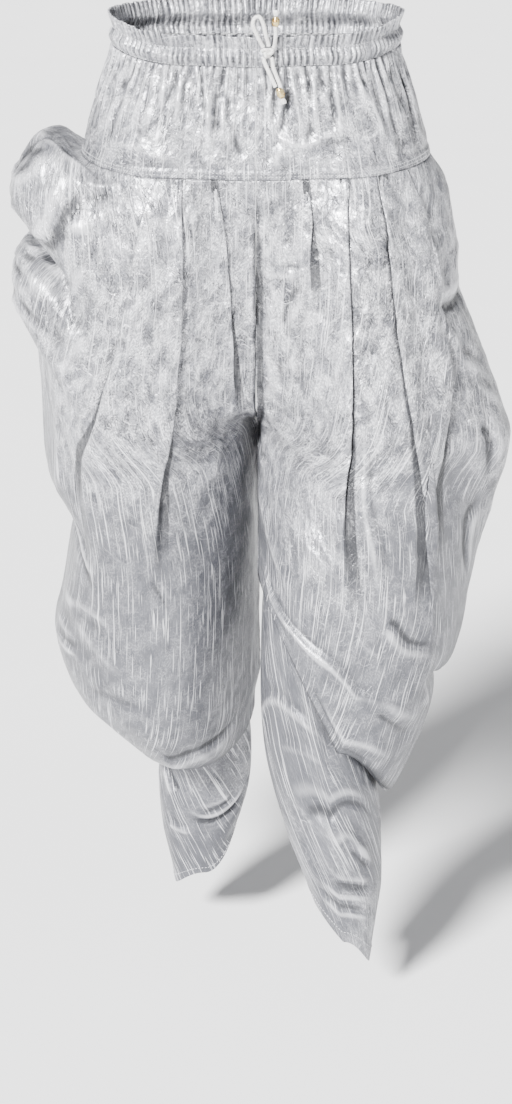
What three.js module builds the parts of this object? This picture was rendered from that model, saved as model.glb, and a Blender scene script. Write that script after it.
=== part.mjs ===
// Dhoti trousers of silver-grey dupion, in the pose of a walking wearer and hollow. Pleated
// legs hang from a hip yoke, swell into cowls at the sides, turn under at the calf in a
// tulip-shaped lip and end in narrow wrapped cuffs with a slanted hem.
// Millimetres, X to the wearer's left, -Y to the front, Z up from the middle of the waist.
import * as THREE from "three";

const wall = 2; // cloth with its folds pressed together
const casingWall = 3; // two layers of cloth and the elastic between them
const seamGap = 0.3; // between two pieces that are sewn to each other
const cuffDrop = 0.5; // the same under the lip, where the cuff turns down sharply
const waistGathers = 120; // ruffles of the elastic, all round
const gatherDepth = 1.5;
const yokeGathers = 24; // in each half of the yoke
const yokeGatherDepth = 2.2;
const yokeBandHeight = 9; // topstitched turning along the foot of the yoke
const yokeBandRise = 0.8;
const yokeRowHeight = 37; // from one of the yoke's sections to the next
const yokeGathersFade = [0.4, 2.2]; // sections between which the gathers run out
const pleatEdge = 5; // width of the step at a pleat's folded edge
const pleatBack = 34; // how far a pleat's raised side runs back
const pleatStart = 0.3; // of a pleat's depth, where it is sewn into the yoke
const pleatSwell = 1.3; // sections down to its full depth
const turnLength = 700; // about the way round a leg
const crownShare = 0.177; // of half the waist, from the middle seam to a crown
const columnStep = 0.042; // widest column of a leg, as a share of the way round
const cordDiameter = 4;
const cordSides = 8;
const beadDiameter = 8;
const beadSides = 12;

// One row for each section round a leg or the waist, from the top down. z is the height of
// the outer side, the front, the middle seam in front, the back and the middle seam behind.
// out, mid and inn are distances from the middle plane: of the outer side, of the front and
// back crowns and of the middle seam. front, side and back are the depths of the same
// places, inY the depth of the middle seam, spread its half width where it is still open
// above the crotch, and round is 1 where the leg has become a tube.
const sectionColumns =
  "zOut zFront zIn zBack zInBack out mid inn front side back inY spread round";
const rightLeg = table(sectionColumns, [
  [-139, -147, -149, -141, -141, 179, 85, 0.15, -119, 5, 112, -8, 113, 0], // yoke seam
  [-190, -200, -200, -195, -190, 200, 95, 0.15, -131, 8, 126, -4, 114, 0],
  [-285, -300, -300, -290, -285, 216, 104, 0.15, -139, 12, 138, -1, 105, 0],
  [-385, -395, -392, -390, -385, 222, 108, 0.15, -136, 18, 150, 5, 79, 0.1],
  [-455, -465, -432, -460, -432, 220, 110, 1, -129, 25, 160, 12, 0, 0.55], // crotch
  [-560, -570, -545, -570, -545, 212, 110, 3, -114, 38, 172, 36, 0, 1],
  [-665, -685, -655, -680, -655, 214, 108, 3, -96, 52, 178, 50, 0, 1],
  [-760, -765, -725, -765, -725, 170, 96, 2, -66, 60, 166, 61.5, 0, 1],
  [-813, -811, -764, -808, -764, 113, 76, 2, -19, 66, 148, 62, 0, 1], // lip
  [-804, -789, -740, -780, -740, 101, 62, 14, 14, 70, 126, 62, 0, 1], // tuck
]);
const rightCuff = table(sectionColumns, [
  [-804, -789, -740, -780, -740, 101, 62, 14, 14, 70, 126, 62, 0, 1], // tuck
  [-826, -822, -790, -820, -790, 108, 60, 6, 20, 74, 131, 68, 0, 1],
  [-872, -872, -842, -874, -842, 110, 59, 6, 25, 77, 130, 72, 0, 1],
  [-925, -918, -876, -924, -876, 103, 58, 14, 30, 78, 126, 74, 0, 1],
  [-979, -953, -889, -958, -889, 91, 57, 21, 34, 77, 121, 74, 0, 1], // hem
]);
const leftLeg = table(sectionColumns, [
  [-139, -147, -149, -141, -141, 179, 85, 0.15, -119, 5, 112, -8, 113, 0], // yoke seam
  [-190, -200, -200, -195, -190, 198, 95, 0.15, -137, 3, 124, -4, 114, 0],
  [-280, -300, -300, -285, -280, 214, 108, 0.15, -158, -2, 130, -5, 105, 0],
  [-385, -400, -392, -380, -378, 238, 116, 0.15, -176, -12, 132, -7, 77, 0.1],
  [-455, -475, -432, -450, -432, 240, 118, 1, -187, -25, 124, -18, 0, 0.55], // crotch
  [-535, -560, -482, -530, -482, 232, 116, 2, -196, -40, 106, -54, 0, 1],
  [-630, -632, -522, -612, -522, 214, 108, 2, -202, -58, 78, -66, 0, 1],
  [-720, -690, -552, -684, -552, 180, 96, 2, -205, -80, 40, -75.5, 0, 1],
  [-796, -727, -568, -728, -568, 142, 84, 2, -196, -104, -6, -76, 0, 1], // lip
  [-783, -704, -546, -704, -546, 126, 74, 13, -168, -106, -40, -76, 0, 1], // tuck
]);
const leftCuff = table(sectionColumns, [
  [-783, -704, -546, -704, -546, 126, 74, 13, -168, -106, -40, -76, 0, 1], // tuck
  [-814, -750, -610, -750, -610, 131, 74, 6, -174, -107, -46, -84, 0, 1],
  [-852, -815, -735, -818, -735, 133, 79, 7, -178, -110, -54, -97, 0, 1],
  [-900, -880, -835, -885, -835, 133, 86, 30, -179, -115, -64, -110, 0, 1],
  [-985, -946, -907, -955, -907, 121, 92, 59, -172, -128, -84, -128, 0, 1], // hem
]);
const yoke = table(sectionColumns, [
  [-27, -38, -40, -30, -30, 146, 70, 0.15, -98, 2, 98, 0, 99, 0],
  [-62, -72, -74, -64, -64, 158, 75, 0.15, -108, 3, 104, -2, 106, 0],
  [-102, -112, -114, -104, -104, 170, 81, 0.15, -115, 4, 109, -5, 111, 0],
  [-139, -147, -149, -141, -141, 179, 85, 0.15, -119, 5, 112, -8, 113, 0],
]);
const waistband = table(sectionColumns, [
  [6, -8, -10, 6, 6, 149, 72, 0, -102, 1, 102, 0, 103, 0], // edge of the frill
  [-8, -20, -22, -9, -9, 146, 70, 0, -98.5, 1, 98.5, 0, 99.5, 0], // upper row of stitches
  [-17, -29, -31, -20, -20, 149, 71, 0, -101.5, 2, 101.5, 0, 102.5, 0], // elastic
  [-26.7, -37.7, -39.7, -29.7, -29.7, 146, 70, 0, -98, 2, 98, 0, 99, 0],
]);

// The cowls' outline down the outer side: at is a place in the table above, between rows.
const foldColumns = "at out z";
const rightFolds = table(foldColumns, [
  [0, 179, -139],
  [0.2, 189, -139],
  [0.45, 204, -122],
  [0.8, 229, -122],
  [1.1, 251, -153],
  [1.4, 256, -186],
  [1.65, 241, -210],
  [1.85, 223, -220], // tip of the upper cowl
  [2.05, 204, -203],
  [2.2, 214, -226],
  [2.4, 242, -230],
  [2.7, 256, -260],
  [3, 251, -296],
  [3.25, 234, -326], // notch under the second cowl
  [3.6, 228, -372],
  [4, 226, -440],
  [4.3, 222, -478],
  [4.6, 207, -508],
  [4.8, 195, -524], // tuck over the balloon
  [5, 199, -548],
  [5.5, 209, -610],
  [6, 219, -665],
  [6.8, 195, -736],
  [7.3, 160, -776],
  [8, 113, -813],
  [9, 101, -804],
]);
const leftFolds = table(foldColumns, [
  [0, 179, -139],
  [0.5, 196, -166],
  [1, 206, -205],
  [1.6, 211, -250],
  [1.9, 212, -280], // notch under the upper drape
  [2.2, 226, -312],
  [2.6, 242, -354],
  [3, 259, -398],
  [3.3, 267, -424],
  [3.6, 263, -452],
  [4, 250, -495],
  [4.5, 236, -540],
  [5, 227, -580],
  [5.6, 217, -628],
  [6, 207, -656], // tip of the lower cowl
  [6.2, 195, -667],
  [6.4, 180, -658],
  [6.6, 187, -682],
  [7, 181, -715],
  [7.5, 163, -755],
  [8, 142, -796],
  [9, 126, -783],
]);

// Knife pleats: round is the share of the way round the leg, from the middle front over the
// outer side, at four heights. over is the side of the line that lies on top: 1 is outward.
const pleatColumns = "at0 at2 at4 at6 ends depth over";
const rightPleats = table(pleatColumns, [
  [0.117, 0.06, 0.03, 0.03, 3.4, 4.5, 1],
  [0.219, 0.186, 0.225, 0.25, 5.4, 6, 1],
  [0.27, 0.29, 0.355, 0.34, 4.9, 6.5, -1],
  [0.73, 0.71, 0.66, 0.66, 4.9, 6.5, 1],
  [0.78, 0.8, 0.785, 0.77, 5.6, 6, -1],
  [0.88, 0.92, 0.93, 0.93, 3.4, 4.5, -1],
]);
const leftPleats = table(pleatColumns, [
  [0.152, 0.14, 0.13, 0.13, 1.9, 4, -1],
  [0.26, 0.219, 0.207, 0.24, 5.8, 5.5, -1],
  [0.315, 0.304, 0.317, 0.345, 6, 5.5, 1],
  [0.371, 0.383, 0.336, 0.38, 5.2, 6.5, -1],
  [0.64, 0.64, 0.66, 0.64, 5.2, 6.5, 1],
  [0.72, 0.75, 0.76, 0.75, 5.8, 6, -1],
  [0.85, 0.87, 0.88, 0.88, 4.4, 4.5, -1],
]);

const legs = [
  {
    name: "right",
    sign: -1,
    sections: rightLeg,
    cuff: rightCuff,
    folds: rightFolds,
    pleats: rightPleats,
    cowlFrom: [0.33, 0.455],
    cowlTo: [0.545, 0.67],
    lipEase: 0.5,
    frontEnds: 2, // the pleat that bounds the front panel, and the one that bounds the back
    backStarts: 3,
  },
  {
    name: "left",
    sign: 1,
    sections: leftLeg,
    cuff: leftCuff,
    folds: leftFolds,
    pleats: leftPleats,
    cowlFrom: [0.35, 0.46],
    cowlTo: [0.54, 0.65],
    lipEase: 0,
    frontEnds: 3,
    backStarts: 4,
  },
];
const tuckRow = 9; // of a leg's sections
const lipTurn = 8.45; // between the lip and the tuck, an extra row
const hemRow = 4; // of a cuff's sections, which start at the tuck

function table(columns, rows) {
  const names = columns.split(" ");
  return rows.map((row) =>
    Object.fromEntries(names.map((name, i) => [name, row[i]])),
  );
}

function smoothstep(from, to, x) {
  const s = THREE.MathUtils.clamp((x - from) / (to - from), 0, 1);
  return s * s * (3 - 2 * s);
}

// A smooth curve through the rows' values; keys are their places along the curve.
function through(rows, keys, column, at) {
  const last = rows.length - 1;
  let i = 0;
  while (i < last - 1 && at >= keys[i + 1]) i += 1;
  const slope = (k) => {
    const a = Math.max(k - 1, 0);
    const b = Math.min(k + 1, last);
    return (rows[b][column] - rows[a][column]) / (keys[b] - keys[a]);
  };
  const h = keys[i + 1] - keys[i];
  const s = THREE.MathUtils.clamp((at - keys[i]) / h, 0, 1);
  const s2 = s * s;
  const s3 = s2 * s;
  return (
    (2 * s3 - 3 * s2 + 1) * rows[i][column] +
    (s3 - 2 * s2 + s) * h * slope(i) +
    (3 * s2 - 2 * s3) * rows[i + 1][column] +
    (s3 - s2) * h * slope(i + 1)
  );
}

function sectionAt(sections, at) {
  const keys = sections.map((row, i) => i);
  const row = {};
  for (const column of sectionColumns.split(" "))
    row[column] = through(sections, keys, column, at);
  row.spread = Math.max(row.spread, 0);
  row.round = THREE.MathUtils.clamp(row.round, 0, 1);
  return row;
}

// A point of a section. round runs from the middle front (0) over the front crown (1/4),
// the outer side (1/2) and the back crown (3/4) to the middle back (1).
function pointOn(section, round, lipEase) {
  const quarter = Math.min(Math.floor(round * 4), 3);
  const s = round * 4 - quarter;
  const sin = Math.sin((s * Math.PI) / 2);
  const cos = Math.cos((s * Math.PI) / 2);
  const { lerp } = THREE.MathUtils;
  if (quarter === 1) {
    const ease = (1 - Math.cos(s * Math.PI)) / 2;
    return new THREE.Vector3(
      lerp(section.mid, section.out, sin),
      lerp(section.side, section.front, cos),
      lerp(section.zFront, section.zOut, ease),
    );
  }
  if (quarter === 2) {
    const ease = (1 - Math.cos(s * Math.PI)) / 2;
    return new THREE.Vector3(
      lerp(section.mid, section.out, cos),
      lerp(section.side, section.back, sin),
      lerp(section.zOut, section.zBack, ease),
    );
  }
  const isFront = quarter === 0;
  const way = isFront ? s : 1 - s; // from the middle seam to the crown
  const flat = (1 - Math.cos(way * Math.PI)) / 2;
  const arcX = 1 - Math.cos((way * Math.PI) / 2);
  const arcY = Math.sin((way * Math.PI) / 2);
  const arcZ = lerp(arcX, (flat + arcY) / 2, lipEase * 2);
  const seamY = section.inY + (isFront ? -section.spread : section.spread);
  const crownY = isFront ? section.front : section.back;
  const seamZ = isFront ? section.zIn : section.zInBack;
  const crownZ = isFront ? section.zFront : section.zBack;
  return new THREE.Vector3(
    lerp(section.inn, section.mid, lerp(way, arcX, section.round)),
    lerp(seamY, crownY, lerp(flat, arcY, section.round)),
    lerp(seamZ, crownZ, lerp(flat, arcZ, section.round)),
  );
}

// The smooth form of a leg, its cowls included and its pleats left out.
function legForm(leg, at, round) {
  const section = sectionAt(leg.sections, at);
  const point = pointOn(section, round, leg.lipEase);
  const keys = leg.folds.map((row) => row.at);
  const share = smoothstep(...leg.cowlFrom, round) * (1 - smoothstep(...leg.cowlTo, round));
  const outward = (through(leg.folds, keys, "out", at) - section.out) * share;
  const angle = (round - 0.5) * 2 * Math.PI;
  point.x += outward * Math.cos(angle);
  point.y += outward * Math.sin(angle);
  point.z += (through(leg.folds, keys, "z", at) - section.zOut) * share;
  point.x *= leg.sign;
  return point;
}

function cuffForm(leg, at, round) {
  const point = pointOn(sectionAt(leg.cuff, at), round, leg.lipEase);
  point.x *= leg.sign;
  return point;
}

function pleatPlace(pleat, at) {
  const rows = [pleat.at0, pleat.at2, pleat.at4, pleat.at6].map((round) => ({
    round,
  }));
  return through(rows, [0, 2, 4, 6], "round", Math.min(at, 6));
}

// The way out of the cloth: square to it, or level and square to the line round it.
function wayOut(form, at, round, sign, ends, isLevel) {
  const turn = 0.004;
  const across = form(at, Math.min(round + turn, 1)).sub(
    form(at, Math.max(round - turn, 0)),
  );
  const step = 0.02;
  const down = isLevel
    ? new THREE.Vector3(0, 0, -1)
    : form(Math.min(at + step, ends[1]), round).sub(form(Math.max(at - step, ends[0]), round));
  return across.cross(down).multiplyScalar(-sign).normalize();
}

// A closed wall between an outer and an inner grid of points, each a list of rows. A tube's
// inner grid may have fewer rows.
function wallMesh(name, outer, inner, isTube, flipped, material) {
  const columns = outer[0].length;
  const foot = outer.length - 1;
  const innerFoot = inner.length - 1;
  const positions = [];
  for (const grid of [outer, inner])
    for (const row of grid) for (const p of row) positions.push(p.x, p.y, p.z);
  const index = [];
  const vertex = (side, row, column) =>
    (side * outer.length + row) * columns + (column % columns);
  const quad = (a, b, c, d) => {
    if (flipped) index.push(a, c, b, a, d, c);
    else index.push(a, b, c, a, c, d);
  };
  const spans = isTube ? columns : columns - 1;
  for (let c = 0; c < spans; c += 1) {
    const d = c + 1;
    for (let r = 0; r < foot; r += 1)
      quad(vertex(0, r, c), vertex(0, r + 1, c), vertex(0, r + 1, d), vertex(0, r, d));
    for (let r = 0; r < innerFoot; r += 1)
      quad(vertex(1, r, c), vertex(1, r, d), vertex(1, r + 1, d), vertex(1, r + 1, c));
    quad(vertex(0, 0, c), vertex(0, 0, d), vertex(1, 0, d), vertex(1, 0, c));
    quad(vertex(0, foot, c), vertex(1, innerFoot, c), vertex(1, innerFoot, d), vertex(0, foot, d));
  }
  if (!isTube)
    for (let r = 0; r < foot; r += 1) {
      const end = columns - 1;
      quad(vertex(0, r, 0), vertex(1, r, 0), vertex(1, r + 1, 0), vertex(0, r + 1, 0));
      quad(vertex(0, r, end), vertex(0, r + 1, end), vertex(1, r + 1, end), vertex(1, r, end));
    }
  const geometry = new THREE.BufferGeometry();
  geometry.setAttribute("position", new THREE.Float32BufferAttribute(positions, 3));
  geometry.setIndex(index);
  geometry.computeVertexNormals();
  const mesh = new THREE.Mesh(geometry, material);
  mesh.name = name;
  return mesh;
}

const dupion = new THREE.MeshStandardMaterial({ color: 0xc4c5cb, roughness: 0.45, metalness: 0.1 });
const silkCord = new THREE.MeshStandardMaterial({ color: 0xd6d5d4, roughness: 0.5 });
const brass = new THREE.MeshStandardMaterial({ color: 0xc9a458, roughness: 0.3, metalness: 1 });
const trousers = new THREE.Group();

// Moves the first and the last of a row of points half a seam's gap towards their neighbours.
function parted(points, atStart, atEnd) {
  const moved = points.map((p) => p.clone());
  const pull = (edge, neighbour) =>
    moved[edge].add(
      points[neighbour].clone().sub(points[edge]).setLength(seamGap / 2),
    );
  if (atStart) pull(0, 1);
  if (atEnd) pull(points.length - 1, points.length - 2);
  return moved;
}

function partedRows(grid) {
  const columns = grid[0].map((p, c) =>
    parted(grid.map((row) => row[c]), false, true),
  );
  return grid.map((row, r) => row.map((p, c) => columns[c][r]));
}

// Round places that share half the waist evenly.
function evenRound(share) {
  const crown = 0.25;
  if (share < crownShare) return (share / crownShare) * crown;
  if (share > 1 - crownShare) return 1 - ((1 - share) / crownShare) * crown;
  return crown + ((share - crownShare) / (1 - 2 * crownShare)) * (1 - 2 * crown);
}

function halfForm(sections, sign) {
  return (at, round) => {
    const point = pointOn(sectionAt(sections, at), round, 0);
    point.x *= sign;
    return point;
  };
}

// The frill and the elastic casing under it, one strip all round, ruffled on its outside.
function addWaistband() {
  const rows = [0, 1, 1.7, 2.4, 3];
  const ripple = [1, 0.35, 1, 0.8, 0.35];
  const columns = waistGathers * 2;
  const outer = [];
  const inner = [];
  rows.forEach((at, r) => {
    const outerRow = [];
    const innerRow = [];
    for (let c = 0; c < columns; c += 1) {
      const turn = (c / columns) * 2;
      const sign = turn < 1 ? 1 : -1;
      const round = evenRound(turn < 1 ? turn : 2 - turn);
      const form = halfForm(waistband, sign);
      const point = form(at, round);
      const out = wayOut(form, at, round, sign, [0, 3], true);
      const crest = c % 2 ? gatherDepth * ripple[r] : 0;
      outerRow.push(point.clone().addScaledVector(out, crest));
      innerRow.push(point.clone().addScaledVector(out, -casingWall));
    }
    outer.push(outerRow);
    if (at === rows[0] || at === rows[rows.length - 1]) inner.push(innerRow);
  });
  trousers.add(wallMesh("waistband", outer, inner, true, false, dupion));
}

// Half of the hip yoke: gathered under the casing, plain at the foot but for its turning.
function addYoke(name, sign) {
  const foot = 3;
  const bandTop = foot - yokeBandHeight / yokeRowHeight;
  const bandEdge = bandTop - yokeBandRise / yokeRowHeight;
  const rows = [0, 0.5, 1.1, 1.8, bandEdge, bandTop, foot];
  const form = halfForm(yoke, sign);
  const outer = [];
  const inner = [];
  for (const at of rows) {
    const outerRow = [];
    const innerRow = [];
    for (let c = 0; c <= yokeGathers * 2; c += 1) {
      const round = evenRound(c / (yokeGathers * 2));
      const point = form(at, round);
      if (at === foot) point.z += seamGap;
      const out = wayOut(form, at, round, sign, [0, foot], true);
      const gather = c % 2 ? yokeGatherDepth * (1 - smoothstep(...yokeGathersFade, at)) : 0;
      const band = at >= bandTop ? yokeBandRise : 0;
      outerRow.push(point.clone().addScaledVector(out, gather + band));
      innerRow.push(point.clone().addScaledVector(out, -wall));
    }
    outer.push(outerRow);
    inner.push(innerRow.map((p) => keepSide(p, sign)));
  }
  trousers.add(wallMesh(name, outer, inner, false, sign < 0, dupion));
}

function keepSide(point, sign) {
  point.x = sign * Math.max(point.x * sign, seamGap / 2);
  return point;
}

// Columns of points round a leg: one on each side of every pleat's edge, and even ones between.
function legColumns(leg) {
  const edge = pleatEdge / turnLength / 2;
  const marks = [{ place: () => 0, at0: 0 }];
  leg.pleats.forEach((pleat, i) => {
    if (i === leg.backStarts) marks.push({ place: () => 0.5, at0: 0.5 });
    marks.push({ place: (at) => pleatPlace(pleat, at), at0: pleat.at0, pleat: i });
  });
  marks.push({ place: () => 1, at0: 1 });
  const columns = [];
  marks.forEach((mark, i) => {
    if (i > 0) {
      const before = marks[i - 1];
      const parts = Math.ceil((mark.at0 - before.at0) / columnStep);
      for (let k = 1; k < parts; k += 1) {
        const share = k / parts;
        columns.push({
          place: (at) => THREE.MathUtils.lerp(before.place(at), mark.place(at), share),
        });
      }
    }
    if (mark.pleat === undefined) columns.push({ place: mark.place });
    else
      for (const side of [-1, 1])
        columns.push({
          place: (at) => mark.place(at) + side * edge,
          pleat: mark.pleat,
          isTop: leg.pleats[mark.pleat].over === side,
        });
  });
  return columns;
}

// How far the pleats lift the cloth at a place; an edge column takes its own pleat in full or not at all.
function pleatLift(leg, column, at, round) {
  let lift = 0;
  leg.pleats.forEach((pleat, i) => {
    const height =
      pleat.depth *
      THREE.MathUtils.lerp(pleatStart, 1, smoothstep(0, pleatSwell, at)) *
      (1 - smoothstep(pleat.ends - 1, pleat.ends, at));
    if (column.pleat === i) {
      if (column.isTop) lift = Math.max(lift, height);
      return;
    }
    const way = (round - pleatPlace(pleat, at)) * pleat.over * turnLength;
    if (way > 0) lift = Math.max(lift, height * (1 - smoothstep(0, pleatBack, way)));
  });
  return lift;
}

function addLeg(leg) {
  const form = (at, round) => legForm(leg, at, round);
  const columns = legColumns(leg);
  const rows = leg.folds.map((row) => row.at);
  rows.splice(rows.length - 1, 0, lipTurn);
  const outer = [];
  const inner = [];
  for (const at of rows) {
    const outerRow = [];
    const innerRow = [];
    const { inY } = sectionAt(leg.sections, at);
    for (const column of columns) {
      const round = THREE.MathUtils.clamp(column.place(at), 0, 1);
      const point = form(at, round);
      const out = wayOut(form, at, round, leg.sign, [0, tuckRow], at === 0);
      const top = point.addScaledVector(out, pleatLift(leg, column, at, round));
      outerRow.push(keepSide(top.clone(), leg.sign));
      innerRow.push(keepSide(top.clone().addScaledVector(out, -wall), leg.sign));
    }
    const last = columns.length - 1;
    innerRow[0].y = Math.min(innerRow[0].y, inY - seamGap / 2);
    innerRow[last].y = Math.max(innerRow[last].y, inY + seamGap / 2);
    outer.push(outerRow);
    inner.push(innerRow);
  }
  const outerParted = partedRows(outer);
  const innerParted = partedRows(inner);
  const lowColumn = (pleat) =>
    columns.findIndex((column) => column.pleat === pleat && !column.isTop);
  const frontEnd = lowColumn(leg.frontEnds);
  const backStart = lowColumn(leg.backStarts);
  const pieces = [
    ["front", 0, frontEnd],
    ["side", frontEnd, backStart],
    ["back", backStart, columns.length - 1],
  ];
  for (const [piece, from, to] of pieces) {
    const cut = (grid) => grid.map((row) => parted(row.slice(from, to + 1), true, true));
    trousers.add(
      wallMesh(
        leg.name + "_" + piece,
        cut(outerParted),
        cut(innerParted),
        false,
        leg.sign < 0,
        dupion,
      ),
    );
  }
}

// The narrow wrapped cuff from the tuck down to the slanted hem.
function addCuff(leg) {
  const form = (at, round) => cuffForm(leg, at, round);
  const rows = [0, 0.6, 1.3, 2, 3, hemRow];
  const columns = legColumns(leg).filter((column) => !column.isTop);
  columns.pop();
  const outer = [];
  const inner = [];
  for (const at of rows) {
    const outerRow = [];
    const innerRow = [];
    for (const column of columns) {
      const round = column.place(tuckRow);
      const point = form(at, round);
      if (at === 0) {
        const next = form(0.1, round);
        point.add(next.sub(point).setLength(cuffDrop));
      }
      const out = wayOut(form, at, round, leg.sign, [0, hemRow]);
      outerRow.push(point.clone());
      innerRow.push(point.clone().addScaledVector(out, -wall));
    }
    outer.push(outerRow);
    inner.push(innerRow);
  }
  trousers.add(wallMesh(leg.name + "_cuff", outer, inner, true, leg.sign < 0, dupion));
}

addWaistband();
addYoke("yoke_right", -1);
addYoke("yoke_left", 1);
for (const leg of legs) {
  addLeg(leg);
  addCuff(leg);
}

// The drawstring: a half bow tied on the casing, its free ends beaded. Each strand leaves the
// knot at an angle from the X axis; via are the places it goes through from there.
const knot = { x: 11.5, y: -106.5, z: -24, halfWidth: 7, halfDepth: 4.2, halfHeight: 5.5 };
const strands = [
  {
    name: "drawstring_loop",
    from: 125,
    via: [
      [1.5, -109.6, -8],
      [-3, -109.6, 3],
      [-1.5, -108.8, 9.5],
      [3, -108.2, 11],
      [6.8, -108.8, 5],
      [9.6, -109.6, -6],
    ],
    to: 85,
  },
  {
    name: "drawstring_upper_end",
    from: 45,
    via: [
      [19, -109.8, -11],
      [19.4, -110.4, -4],
      [19, -110.6, 1],
    ],
  },
  {
    name: "drawstring_lower_end",
    from: -60,
    via: [
      [17, -111.4, -38],
      [20.4, -113.2, -47],
      [24, -114.6, -56.6],
    ],
  },
  {
    name: "drawstring_return",
    from: -115,
    via: [
      [11, -111.4, -39],
      [15.2, -113.2, -48],
      [19.4, -114.6, -57.2],
    ],
  },
];
const beads = [
  { name: "bead_upper", from: [19, -110.6, 1.6], to: [19.6, -109.4, 11] },
  { name: "bead_lower", from: [22.5, -114.9, -57.9], to: [25.7, -115.4, -67.4] },
];
const tipLength = 6;
const tuftDiameter = 6.4;
const knotStub = 2.5; // a strand's straight start

function onKnot(degrees, away) {
  const angle = THREE.MathUtils.degToRad(degrees);
  const out = new THREE.Vector3(
    Math.cos(angle) / knot.halfWidth,
    0,
    Math.sin(angle) / knot.halfHeight,
  ).setLength(away);
  return new THREE.Vector3(
    knot.x + knot.halfWidth * Math.cos(angle),
    knot.y,
    knot.z + knot.halfHeight * Math.sin(angle),
  ).add(out);
}

function strandMesh({ name, from, via, to }) {
  const points = [onKnot(from, seamGap), onKnot(from, knotStub)];
  for (const place of via) points.push(new THREE.Vector3(...place));
  if (to) points.push(onKnot(to, knotStub), onKnot(to, seamGap));
  const path = new THREE.CatmullRomCurve3(points);
  const section = new THREE.Shape();
  for (let i = 0; i < cordSides; i += 1) {
    const angle = (i / cordSides) * 2 * Math.PI;
    const x = (Math.cos(angle) * cordDiameter) / 2;
    const y = (Math.sin(angle) * cordDiameter) / 2;
    if (i === 0) section.moveTo(x, y);
    else section.lineTo(x, y);
  }
  const geometry = new THREE.ExtrudeGeometry(section, {
    steps: Math.ceil(path.getLength() / (cordDiameter * 0.9)),
    extrudePath: path,
    bevelEnabled: false,
  });
  const mesh = new THREE.Mesh(geometry, silkCord);
  mesh.name = name;
  return mesh;
}

// A turned piece along the line from one point to another; profile is [share of length, radius].
function turnedMesh(name, from, to, profile, material) {
  const start = new THREE.Vector3(...from);
  const way = new THREE.Vector3(...to).sub(start);
  const outline = profile.map(([share, radius]) => new THREE.Vector2(radius, share * way.length()));
  const mesh = new THREE.Mesh(new THREE.LatheGeometry(outline, beadSides), material);
  mesh.position.copy(start);
  mesh.quaternion.setFromUnitVectors(new THREE.Vector3(0, 1, 0), way.normalize());
  mesh.name = name;
  return mesh;
}

for (const strand of strands) trousers.add(strandMesh(strand));
const knotMesh = new THREE.Mesh(new THREE.SphereGeometry(1, 12, 8), silkCord);
knotMesh.scale.set(knot.halfWidth, knot.halfDepth, knot.halfHeight);
knotMesh.position.set(knot.x, knot.y, knot.z);
knotMesh.name = "drawstring_knot";
trousers.add(knotMesh);
const barrel = [
  [0, 0],
  [0, 0.6],
  [0.2, 0.9],
  [0.5, 1],
  [0.8, 0.9],
  [1, 0.6],
  [1, 0],
].map(([share, radius]) => [share, (radius * beadDiameter) / 2]);
const tuft = [
  [0, 0],
  [0, 0.4],
  [0.6, 0.55],
  [1, 0.35],
  [1, 0],
].map(([share, radius]) => [share, (radius * tuftDiameter) / 2]);
for (const { name, from, to } of beads) {
  trousers.add(turnedMesh(name, from, to, barrel, brass));
  const end = new THREE.Vector3(...to);
  const way = end.clone().sub(new THREE.Vector3(...from)).normalize();
  const tipStart = end.clone().addScaledVector(way, seamGap);
  const tipEnd = tipStart.clone().addScaledVector(way, tipLength);
  const tipName = name.replace("bead", "tip");
  trousers.add(turnedMesh(tipName, tipStart.toArray(), tipEnd.toArray(), tuft, silkCord));
}

export default trousers;
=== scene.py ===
# Dhoti trousers of silver-grey art-silk dupion, hollow, in the pose of a walking wearer.
# The tables are in millimetres, as on the CAD part, and the meshes in metres.
import math
import bpy
import bmesh
import numpy as np
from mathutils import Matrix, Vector


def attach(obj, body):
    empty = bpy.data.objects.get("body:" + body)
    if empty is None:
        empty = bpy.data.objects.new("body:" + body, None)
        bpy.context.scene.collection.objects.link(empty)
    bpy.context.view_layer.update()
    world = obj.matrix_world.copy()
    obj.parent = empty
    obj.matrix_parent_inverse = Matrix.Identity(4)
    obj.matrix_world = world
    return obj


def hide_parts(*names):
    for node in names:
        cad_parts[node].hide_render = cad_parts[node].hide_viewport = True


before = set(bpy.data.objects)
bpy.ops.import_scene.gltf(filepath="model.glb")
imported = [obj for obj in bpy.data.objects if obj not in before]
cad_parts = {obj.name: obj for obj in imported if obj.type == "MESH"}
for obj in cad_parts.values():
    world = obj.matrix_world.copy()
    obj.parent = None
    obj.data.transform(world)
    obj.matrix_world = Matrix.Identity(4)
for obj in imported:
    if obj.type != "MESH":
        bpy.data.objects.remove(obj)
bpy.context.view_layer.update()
millimetre = 0.001

# camera: the photograph's own place and angle
cameraSettings = {
    "eye": (0.0, -3.072, 0.34272),
    "target": (0.0, 0.0, -0.56928),
    "sensorHeight": 24.0,
    "focalShare": 2990 / 1104,  # focal length over the picture's height
}


def addCamera(settings):
    data = bpy.data.cameras.new("camera")
    data.sensor_fit = "VERTICAL"
    data.sensor_height = settings["sensorHeight"]
    data.lens = settings["sensorHeight"] * settings["focalShare"]
    camera = bpy.data.objects.new("camera", data)
    bpy.context.scene.collection.objects.link(camera)
    camera.location = settings["eye"]
    way = Vector(settings["target"]) - Vector(settings["eye"])
    camera.rotation_euler = way.to_track_quat("-Z", "Y").to_euler()
    bpy.context.scene.camera = camera


addCamera(cameraSettings)
print("camera placed")


# materials
def linearColor(hexText):
    parts = [int(hexText[i:i + 2], 16) / 255 for i in (1, 3, 5)]
    return tuple(c / 12.92 if c <= 0.04045 else ((c + 0.055) / 1.055) ** 2.4 for c in parts) + (1.0,)


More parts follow.
